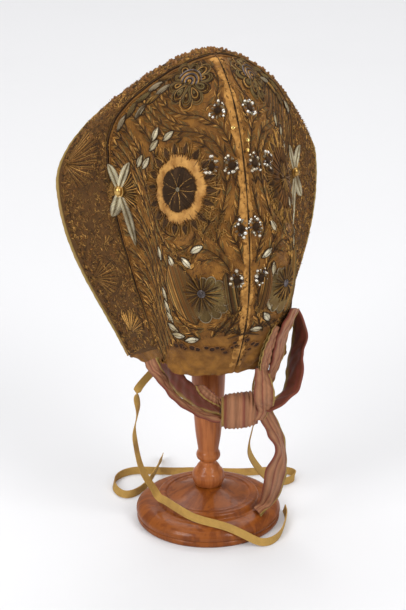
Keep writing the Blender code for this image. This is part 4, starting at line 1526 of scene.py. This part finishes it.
def rosette(kit):
    """The lower flower: a purl centre, raised rays, satin petals, and bundles of long thread beside it."""
    for length, width, turn, x, y in ROSETTE_BUNDLES:
        leaf = turned_flat(lens(length, width, 0.7, 26), turn, x, y)
        for line in satin(leaf, turn - 2, 0.7, 1.2, 3.0):
            fill = (kit.rust, kit.rust, kit.gold, kit.dark, kit.olive)[RANDOM.integers(5)]
            fill.draw(ROSETTE, [line], 0.4 + 0.3 * RANDOM.random(), 0.75, 0.4, 1.0)
        kit.dark.draw(ROSETTE, [loop(leaf)], 0.9, 0.6, 0.4)
    for turn, reach, width in ROSETTE_PETALS:
        petal = turned_flat(teardrop(reach, width), turn, 2.5, -2.0)
        kit.olive.draw(ROSETTE, satin(petal, turn, 0.85, 1.0), 0.6, 0.85, 0.75, 0.8)
        kit.silver.draw(ROSETTE, [loop(petal)], 1.2, 0.6, 0.3, 0.4)
    spokes = [ray(k * 360 / 28, 3.0, 12.0 + 2.5 * RANDOM.random(), 0.08) for k in range(28)]
    kit.dark.draw(ROSETTE, spokes[::2], 2.4, 1.1, 0.5, 0.7)
    kit.gold.draw(ROSETTE, spokes[1::2], 2.4, 0.95, 0.2, 0.5)
    kit.violet.draw(ROSETTE, [loop(disc(r, sides=10)) for r in (0.7, 1.7, 2.6)], 2.3, 1.0, 0.4, 0.8)
    for k in range(9):
        base = (10 + 2.2 * k, -31 - 0.5 * k)
        lines = [ray(150 - 12 * k, 0, 8, 0.2, 4, *base), ray(60 - 9 * k, 0, 7, -0.2, 4, *base)]
        kit.dark.draw(ROSETTE, lines, 0.6, 0.7, 0.4, 0.5)


def crown_rosette(kit):
    """The upper flower: petals of nested loops in silver-grey, gold and dark thread."""
    fills = (kit.olive, kit.dark, kit.gold, kit.dark, kit.olive)
    for index, (turn, reach, width) in enumerate(CROWN_PETALS):
        petal = turned_flat(teardrop(reach, width, 16), turn)
        middle = petal.mean(axis=0)
        for layer, share in enumerate((1.0, 0.82, 0.64, 0.46, 0.28, 0.1)):
            outline = loop(middle + (petal - middle) * share)
            tone = RANDOM.uniform(0.0, 0.6)
            fills[(layer + 2 * index) % 5].draw(CROWN_ROSETTE, [outline], 0.5 + 0.25 * layer, 0.9, tone, 0.5)
    for index, radius in enumerate(np.arange(1.0, 9.5, 1.0)):
        turns = np.radians(np.linspace(-60 + 9 * index, 230 - 7 * index, 14))
        arc = radius * np.stack([np.cos(turns), np.sin(turns)], axis=1)
        fill = (kit.gold, kit.dark, kit.violet)[index % 3]
        fill.draw(CROWN_ROSETTE, [arc], 2.0, 1.0, 0.4, 0.4)


def metal_leaf(kit, place, degrees, length=10.8, width=4.6, tone=0.6):
    """A leaf of silvery strips that slant from a rib, with a dark edge."""
    outline = turned_flat(lens(length, width) - np.array([length / 2, 0]), degrees)
    kit.plates.add(place, outline, 0.9, base=0.7, tone=tone, levels=((0.82, 0.55), (0.4, 0.95)))
    kit.dark.draw(place, [loop(outline * 1.12)], 0.5, 0.8, 0.15)
    rib = turned_flat(np.array([[-length * 0.45, 0.0], [0.0, 0.2], [length * 0.42, 0.0]]), degrees)
    kit.dark.draw(place, [rib], 1.6, 0.5, 0.4)
    for share in np.linspace(-0.36, 0.24, 5):
        half = width * 0.4 * (1 - (2 * share)**2)
        for side in (-1, 1):
            root = [share * length, 0.1 * side, 0.4]
            strip = np.array([root, [share * length + half * 0.9, half * side, 0.0]])
            kit.dark.draw(place, [turned_flat(strip, degrees)], 1.2, 0.42, 0.5, 0.6)


def feather_leaf(kit, place, degrees, length, width, bend):
    """A leaf of slanting silver stitches on both sides of an olive rib."""
    t = np.linspace(0.12, 1, int(length * 0.75))
    lines = []
    for s in t:
        half = width / 2 * math.sin(math.pi * min(1.0, 0.12 + 0.85 * s))**0.8
        root = np.array([length * s * 0.92, bend * length * s * s])
        for side in (-1, 1):
            tip = root + np.array([half * 0.9, side * half])
            lines.append(turned_flat(np.stack([root, (root + tip) / 2 + [0, side * 0.2], tip]), degrees))
    kit.silver.draw(place, lines, 1.2, 1.15, 0.95, 0.5)
    rib = np.stack([length * t, bend * length * t * t], axis=1)[::2]
    kit.olive.draw(place, [turned_flat(rib, degrees)], 1.6, 0.5, 0.5)


def bead_flower(kit, place):
    """A small dark satin flower among silver and violet petals, in a broken ring of silver beads."""
    kit.dark.draw(place, satin(disc(2.3, 3.3), 90, 0.8, 0.8), 0.8, 0.9, 0.2, 0.3)
    for k in range(9):
        turn = 40 * k + RANDOM.uniform(-9, 9)
        petal = turned_flat(teardrop(3.6, 2.2, 8), turn, *polar(math.radians(turn), 1.8, 2.7))
        fill = kit.silver if k % 3 else kit.violet
        fill.draw(place, satin(petal, turn, 0.8, 0.5, 3.0), 0.6, 0.7, 0.25, 0.6)
    for k in range(14):
        turn = 2 * math.pi * (k + RANDOM.random()) / 14
        far = RANDOM.uniform(0.7, 1.25)
        if RANDOM.random() < 0.25:
            continue
        size = RANDOM.uniform(0.5, 1.6)
        bead = disc(size, sides=7) + np.array(polar(turn, 4.7 * far, 6.0 * far))
        kit.beads.add(place, bead, size * 1.2, base=0.6, tone=RANDOM.random())


def eyelet(kit, place, radius):
    """A sewn hole: a dark middle in a thick brown ring."""
    kit.holes.add(place, disc(radius, sides=14), 0.25, base=0.25)
    kit.rust.draw(place, [loop(disc(radius + 0.35, sides=14))], 0.3, 1.0, 0.05)


def small_rings(kit, centre, radius, count):
    """A patch of little rings of gold purl."""
    for _ in range(count):
        distance, turn = radius * math.sqrt(RANDOM.random()), 2 * math.pi * RANDOM.random()
        ring = loop(disc(1.05, sides=7) + np.array(polar(turn, distance)))
        kit.gold.draw(centre, [ring], 0.7 + 0.4 * RANDOM.random(), 0.6, 0.45, 0.8)


def boss_leaves(kit, place):
    """The feather leaves above and below a boss, and the sprays of rays on its two sides."""
    for feather in FEATHERS:
        feather_leaf(kit, place, *feather)
    rays = [ray(turn, 5.0, 14.5 + 6 * RANDOM.random(), 0.12) for turn in np.arange(-50, 54, 4.5)]
    kit.gold.draw(place, rays[::2], 0.9, 0.8, 0.6, 0.6)
    kit.dark.draw(place, rays[1::2], 0.9, 0.8, 0.3, 0.3)
    rays = [ray(turn, 5.0, 9.5, -0.12) for turn in np.arange(140, 225, 8)]
    kit.gold.draw(place, rays, 0.9, 0.8, 0.5, 0.6)


def back_embroidery(kit, stems, side):
    """All the needlework of one back half; the right one's medallion is quieter."""
    quiet = side == "right"
    filling(kit)
    ferns(kit, stems)
    medallion(kit, quiet)
    rosette(kit)
    crown_rosette(kit)
    for bow, along, degrees in RIGHT_LEAVES if quiet else SILVER_LEAVES:
        metal_leaf(kit, (bow, along), degrees, tone=RANDOM.uniform(0.3, 0.9))
    for bow, along, degrees in CROWN_LEAVES:
        leaf = turned_flat(lens(14.0, 3.8) - np.array([7.0, 0]), degrees + RANDOM.uniform(-9, 9))
        fill = (kit.olive, kit.gold, kit.silver)[RANDOM.integers(3)]
        lines = satin(leaf, degrees + 8, 0.85, 0.9)
        fill.draw((bow, along), lines, 0.8, 0.85, RANDOM.uniform(0.05, 0.4), 0.6)
        kit.dark.draw((bow, along), [loop(leaf * 1.08)], 0.8, 0.8, 0.2)
    for place in BEAD_FLOWERS:
        bead_flower(kit, place)
    for bow, along in EYELETS:
        for row in range(2):
            place = (bow - 0.012 * row + RANDOM.uniform(-0.004, 0.004), along + RANDOM.uniform(-0.02, 0.02))
            if row == 0 or RANDOM.random() < 0.2:
                eyelet(kit, place, RANDOM.uniform(1.3, 2.2))
    for centre, radius in PURL_PATCHES:
        small_rings(kit, centre, radius, int(radius * radius * 0.28))
    for place in SEQUINS[side]:
        kit.sequins.add(place, disc(1.7, sides=14), 0.5, base=1.0, levels=((0.8, 1.4), (0.45, 0.4)))


# The band's fans: the place that each spreads from, its heading in degrees from +along, half spread and reach
FANS = (
    ((0.965, -0.06), -90, 58, 36.0), ((0.965, -0.44), -90, 56, 34.0), ((0.955, -0.76), -95, 46, 26.0),
    ((0.865, -0.935), -42, 48, 20.0),
)
SMALL_FAN = 25.0
BAND_STITCHES = 10500
BAND_ENDS = 420
BAND_KNOTS = 300


def band_embroidery(kit, bright, fans):
    """The band's close winding stitches, with fans of gilt thread over them."""
    for centre, degrees, half, reach in fans:
        small = reach < SMALL_FAN
        count = int(2 * half / 3.0)
        for index, turn in enumerate(np.linspace(-half, half, count)):
            angle = math.radians(degrees + turn)
            bend = math.radians(turn) * 0.25
            far = reach * (1 - 0.25 * abs(turn / half)**2) * RANDOM.uniform(0.85, 1.0)
            line = walk(np.array([centre]), lambda here, step: np.full(1, angle + bend * step / 8), 8,
                        far / 8)[0, 1:]
            line = line[(line[:, 0] > SEAM_BOW + 0.012) & (line[:, 0] < 0.99) & (line[:, 1] < -0.002)]
            threads = (bright, kit.dark, bright if small else kit.rust)[index % 3]
            # Small fans' threads reach higher tones, towards the gilt's painted highlight
            threads.sew(line, 0.55, 0.7, RANDOM.random() * (1.2 if small else 0.7))
        for share in (0.97, 1.04):
            turns = np.radians(np.linspace(-half, half, 24))
            size = size_at(np.asarray(centre))
            far = reach * share * (1 - 0.25 * (turns / math.radians(half))**2)
            angle = math.radians(degrees) + turns * 1.12
            arc = np.stack([np.sin(angle) * far / size[0], np.cos(angle) * far / size[1]], axis=1)
            arc = arc + np.asarray(centre)
            arc = arc[(arc[:, 0] > SEAM_BOW + 0.01) & (arc[:, 0] < 0.985) & (arc[:, 1] < -0.002)]
            kit.dark.sew(arc, 0.5, 0.6, 0.4)
    starts = np.stack([RANDOM.uniform(SEAM_BOW + 0.01, 0.99, BAND_STITCHES),
                       RANDOM.uniform(-0.995, -0.002, BAND_STITCHES)], axis=1)
    size = size_at(starts)
    keep = RANDOM.random(BAND_STITCHES) < size[:, 0] * size[:, 1] / (size[:, 0] * size[:, 1]).max()
    starts = starts[keep]
    flat = np.stack([starts[:, 0] * 190, starts[:, 1] * 260], axis=1)
    swirl = (np.sin(flat[:, 0] * 0.33 + 1.7 * np.sin(flat[:, 1] * 0.21))
             + np.sin(flat[:, 1] * 0.37 + 1.3 * np.sin(flat[:, 0] * 0.17 + 1)))
    angle = swirl * 2.2 + RANDOM.normal(0, 0.3, len(starts))
    curl = RANDOM.uniform(-0.5, 0.5, len(starts))
    lines = walk(starts, lambda here, step: angle + curl * step, 3, 1.05)
    good = ((lines[..., 0] > SEAM_BOW + 0.006) & (lines[..., 0] < 0.994) & (lines[..., 1] < 0.002)
            & (lines[..., 1] > -0.998)).all(axis=1)
    lines = lines[good]
    kind = (swirl[good] * 0.5 + RANDOM.normal(0, 0.13, len(lines))) % 1.0
    for threads, low, high in ((kit.gold, 0.0, 0.42), (kit.dark, 0.42, 0.68), (kit.rust, 0.68, 1.0)):
        chosen = lines[(kind >= low) & (kind < high)]
        threads.sew(chosen, RANDOM.uniform(0.05, 0.5, (len(chosen), 1)),
                    RANDOM.uniform(0.5, 0.8, len(chosen)), RANDOM.random(len(chosen))**1.8)


def fringe(kit):
    """Loose ends of thread that stand out from the band near the face edge and over the crown."""
    for _ in range(BAND_ENDS):
        start = np.array([RANDOM.uniform(0.8, 0.985), -RANDOM.random() * 0.98])
        heading = RANDOM.uniform(0, 2 * math.pi)
        line = walk(start[None], lambda here, step: np.full(1, heading), 2, 0.7)[0]
        line = np.clip(line, (SEAM_BOW + 0.01, -0.99), (0.99, -0.003))
        threads = (kit.gold, kit.rust, kit.dark)[RANDOM.integers(3)]
        threads.sew(line, np.array([[0.2, 0.9, RANDOM.uniform(1.2, 2.6)]]), 0.5, RANDOM.random() * 0.6)


def knots(kit):
    """Small sewn knots over the band, closer together where it crosses the crown."""
    for _ in range(BAND_KNOTS):
        along = -RANDOM.random()**1.8 * 0.97
        size = RANDOM.uniform(0.5, 0.9) * (1.5 if along > -0.25 else 1.0)
        kit.holes.add((RANDOM.uniform(0.655, 0.975), along), disc(size, sides=6), size * 1.7, base=0.3,
                      tone=RANDOM.random() * 0.7, levels=((0.75, 0.7),))


def seam_work(kit, reach):
    """The threads of the centre and side seams; returns the centre seam's puckered strip.

    The strip is given as its places and its heights.
    """
    rows, columns = 300, 7
    bows = np.linspace(0.02, 0.62, rows)
    beside = np.stack([bows, np.full(rows, -1e-4)], axis=1)
    size = size_at(beside)[:, 1]
    shares = np.linspace(0, 1, columns)
    far = reach + 0.9 * np.sin(bows * 43) + 0.6 * np.sin(bows * 101 + 1) + 0.3 * np.sin(bows * 260)
    across = (0.3 + (far - 0.3)[:, None] * shares) / size[:, None]
    places = np.stack([np.repeat(bows[:, None], columns, axis=1), -across], axis=2)
    pucker = 0.6 + 0.4 * np.sin(bows * 410 + 2.3 * np.sin(bows * 57))[:, None]
    height = 0.15 + 0.75 * np.sin(shares * math.pi)**0.6 * pucker
    line = np.stack([bows[::2], -(0.3 + 0.25 * np.sin(bows[::2] * 70)) / size[::2]], axis=1)
    kit.dark.sew(line, 0.25, 0.55, 0.1)
    for _ in range(SEAM_STITCHES):
        index = RANDOM.integers(5, rows - 5)
        off = RANDOM.uniform(0.8, far[index] + 1.5)
        start = np.array([[bows[index], -off / size[index]]])
        heading = RANDOM.normal(math.pi / 2, 0.9)
        threads = (kit.rust, kit.dark, kit.gold)[RANDOM.integers(3)]
        line = walk(start, lambda here, step: np.full(1, heading), 2, 0.9)
        threads.sew(line, 0.8, 0.5, RANDOM.random() * 0.7)
    alongs = np.linspace(-0.985, -0.004, 260)
    waver = 0.0025 * np.sin(alongs * 37) + 0.0015 * np.sin(alongs * 90)
    for off, threads, tone, wide in ((0.004, kit.dark, 0.15, 0.9), (-0.009, kit.rust, 0.3, 0.7),
                                     (0.016, kit.gold, 0.1, 0.6)):
        threads.sew(np.stack([SEAM_BOW + off + waver, alongs], axis=1), 0.4, wide, tone)
    return places, height


def seam_strip(side, places, heights, material):
    """The strip of faded silk beside the centre seam, as a thin closed shell."""
    places = places * np.array([1.0, SIDES[side]])
    outer = CHART.at(places, heights)
    inner = CHART.at(places, np.full(heights.shape, -SUNK))
    if side == "left":
        outer, inner = outer[:, ::-1], inner[:, ::-1]
    along = np.cumsum(lengths(np.gradient(outer, axis=0)), axis=0)
    across = np.tile(np.linspace(0, 3.4, outer.shape[1]), (len(outer), 1))
    add_cloth("seam_strip_" + side, outer, inner, np.stack([across, along], axis=2), material)


class BONNET_OT_bosses(bpy.types.Operator):
    """Set the two domed gilt bosses on the side seams"""

    bl_idname = "bonnet.bosses"
    bl_label = "Bosses"

    def execute(self, context):
        material = thread_material("Dull gilt", (0.42, 0.24, 0.06), (0.8, 0.52, 0.17), (0.3, 0.16, 0.04),
                                   0.3, 0.9)
        levels = ((0.97, 0.16), (0.8, 0.18), (0.74, 0.1), (0.68, 0.45), (0.55, 0.75), (0.3, 0.95))
        for side, mirror in SIDES.items():
            dome = Domes(mirror)
            dome.add(BOSSES[side], disc(4.4, 5.0, 28), 3.6, base=0.9, tone=0.7, levels=levels)
            obj = dome.make("boss_%s_gilt" % side, material, "brass", 40.0)
            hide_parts("boss_" + side)
        return {"FINISHED"}


def make_threads(kit, where, materials):
    for kind, material in materials.items():
        threads = getattr(kit, kind)
        if threads.lines:
            threads.make("%s_threads_%s" % (kind, where), material, "embroidery")


def make_trims(kit, where, materials):
    for kind, slot in TRIM_SLOTS.items():
        domes = getattr(kit, kind)
        if domes.count:
            domes.make("%s_%s" % (kind, where), materials[kind], slot)


class BONNET_OT_needlework(bpy.types.Operator):
    """Sew the ferns, flowers, leaves, fans, beads and seams on both sides"""

    bl_idname = "bonnet.needlework"
    bl_label = "Embroidery"

    def execute(self, context):
        props = context.scene.bonnet_cloth
        gold = tuple(props.gold)
        # The gilt's light colour, 1.9 times the gold, is partly a painted highlight: threads given a high
        # tone stand for glints, and otherwise the tone differs at random from thread to thread
        threads = {"gold": thread_material("Gilt thread", tuple(c * 0.3 for c in gold),
                                           tuple(c * 1.9 for c in gold), (0.17, 0.085, 0.024), 0.38, 0.45)}
        threads.update((kind, thread_material(*look)) for kind, look in THREADS.items())
        trims = {kind: thread_material(*look) for kind, look in TRIMS.items()}
        trims["padding"] = woven_material("Padded silk", (0.7, 0.38, 0.11), (0.36, 0.17, 0.035), 0.8, 0.5,
                                          1.0, (0.28, 0.12, 0.026), 150.0)
        faded = woven_material("Faded silk strips", (0.74, 0.38, 0.1), (0.36, 0.165, 0.035), 0.8, 0.6, 0.9,
                               (0.2, 0.085, 0.016), 130.0)
        stems = Current().stems(STEM_GAP, STEM_STEP)
        for side, mirror in SIDES.items():
            kit = Kit(mirror)
            back_embroidery(kit, stems, side)
            if side == "left":
                boss_leaves(kit, BOSSES[side])
            strip = seam_work(kit, STRIP_REACH[side])
            make_threads(kit, "back_" + side, threads)
            make_trims(kit, "back_" + side, trims)
            seam_strip(side, *strip, faded)
            band, bright = Kit(mirror), Threads(mirror)
            band_embroidery(band, bright, FANS if side == "left" else FANS[:1])
            fringe(band)
            if side == "right":
                boss_leaves(band, BOSSES[side])
            knots(band)
            band.holes.make("knots_band_" + side, threads["rust"], "embroidery")
            bright.make("fan_threads_band_" + side, threads["gold"], "embroidery")
            make_threads(band, "band_" + side, threads)
        return {"FINISHED"}


OPERATORS = (
    BONNET_OT_stage,
    BONNET_OT_tapes,
    BONNET_OT_backs,
    BONNET_OT_band,
    BONNET_OT_corners,
    BONNET_OT_binding,
    BONNET_OT_bosses,
    BONNET_OT_needlework,
    BONNET_OT_ribbons,
    BONNET_OT_knot,
    BONNET_OT_stand,
)


class BONNET_PT_panel(bpy.types.Panel):
    """Lists the bonnet's pieces in the order in which they are made"""

    bl_label = "Embroidered bonnet"
    bl_idname = "BONNET_PT_panel"
    bl_space_type = "VIEW_3D"
    bl_region_type = "UI"
    bl_category = "Bonnet"

    def draw(self, context):
        layout = self.layout
        for operator in OPERATORS:
            layout.operator(operator.bl_idname)
        for group in (context.scene.bonnet_cloth, context.scene.bonnet_stand):
            box = layout.box()
            for key in group.__annotations__:
                box.prop(group, key)


CLASSES = (BONNET_PG_cloth, BONNET_PG_stand, *OPERATORS, BONNET_PT_panel)


def register():
    for cls in CLASSES:
        bpy.utils.register_class(cls)
    bpy.types.Scene.bonnet_cloth = PointerProperty(type=BONNET_PG_cloth)
    bpy.types.Scene.bonnet_stand = PointerProperty(type=BONNET_PG_stand)


def unregister():
    del bpy.types.Scene.bonnet_cloth
    del bpy.types.Scene.bonnet_stand
    for cls in reversed(CLASSES):
        bpy.utils.unregister_class(cls)


def main():
    register()
    for operator in OPERATORS:
        getattr(bpy.ops.bonnet, operator.bl_idname.split(".")[1])()


if __name__ == "__main__":
    main()
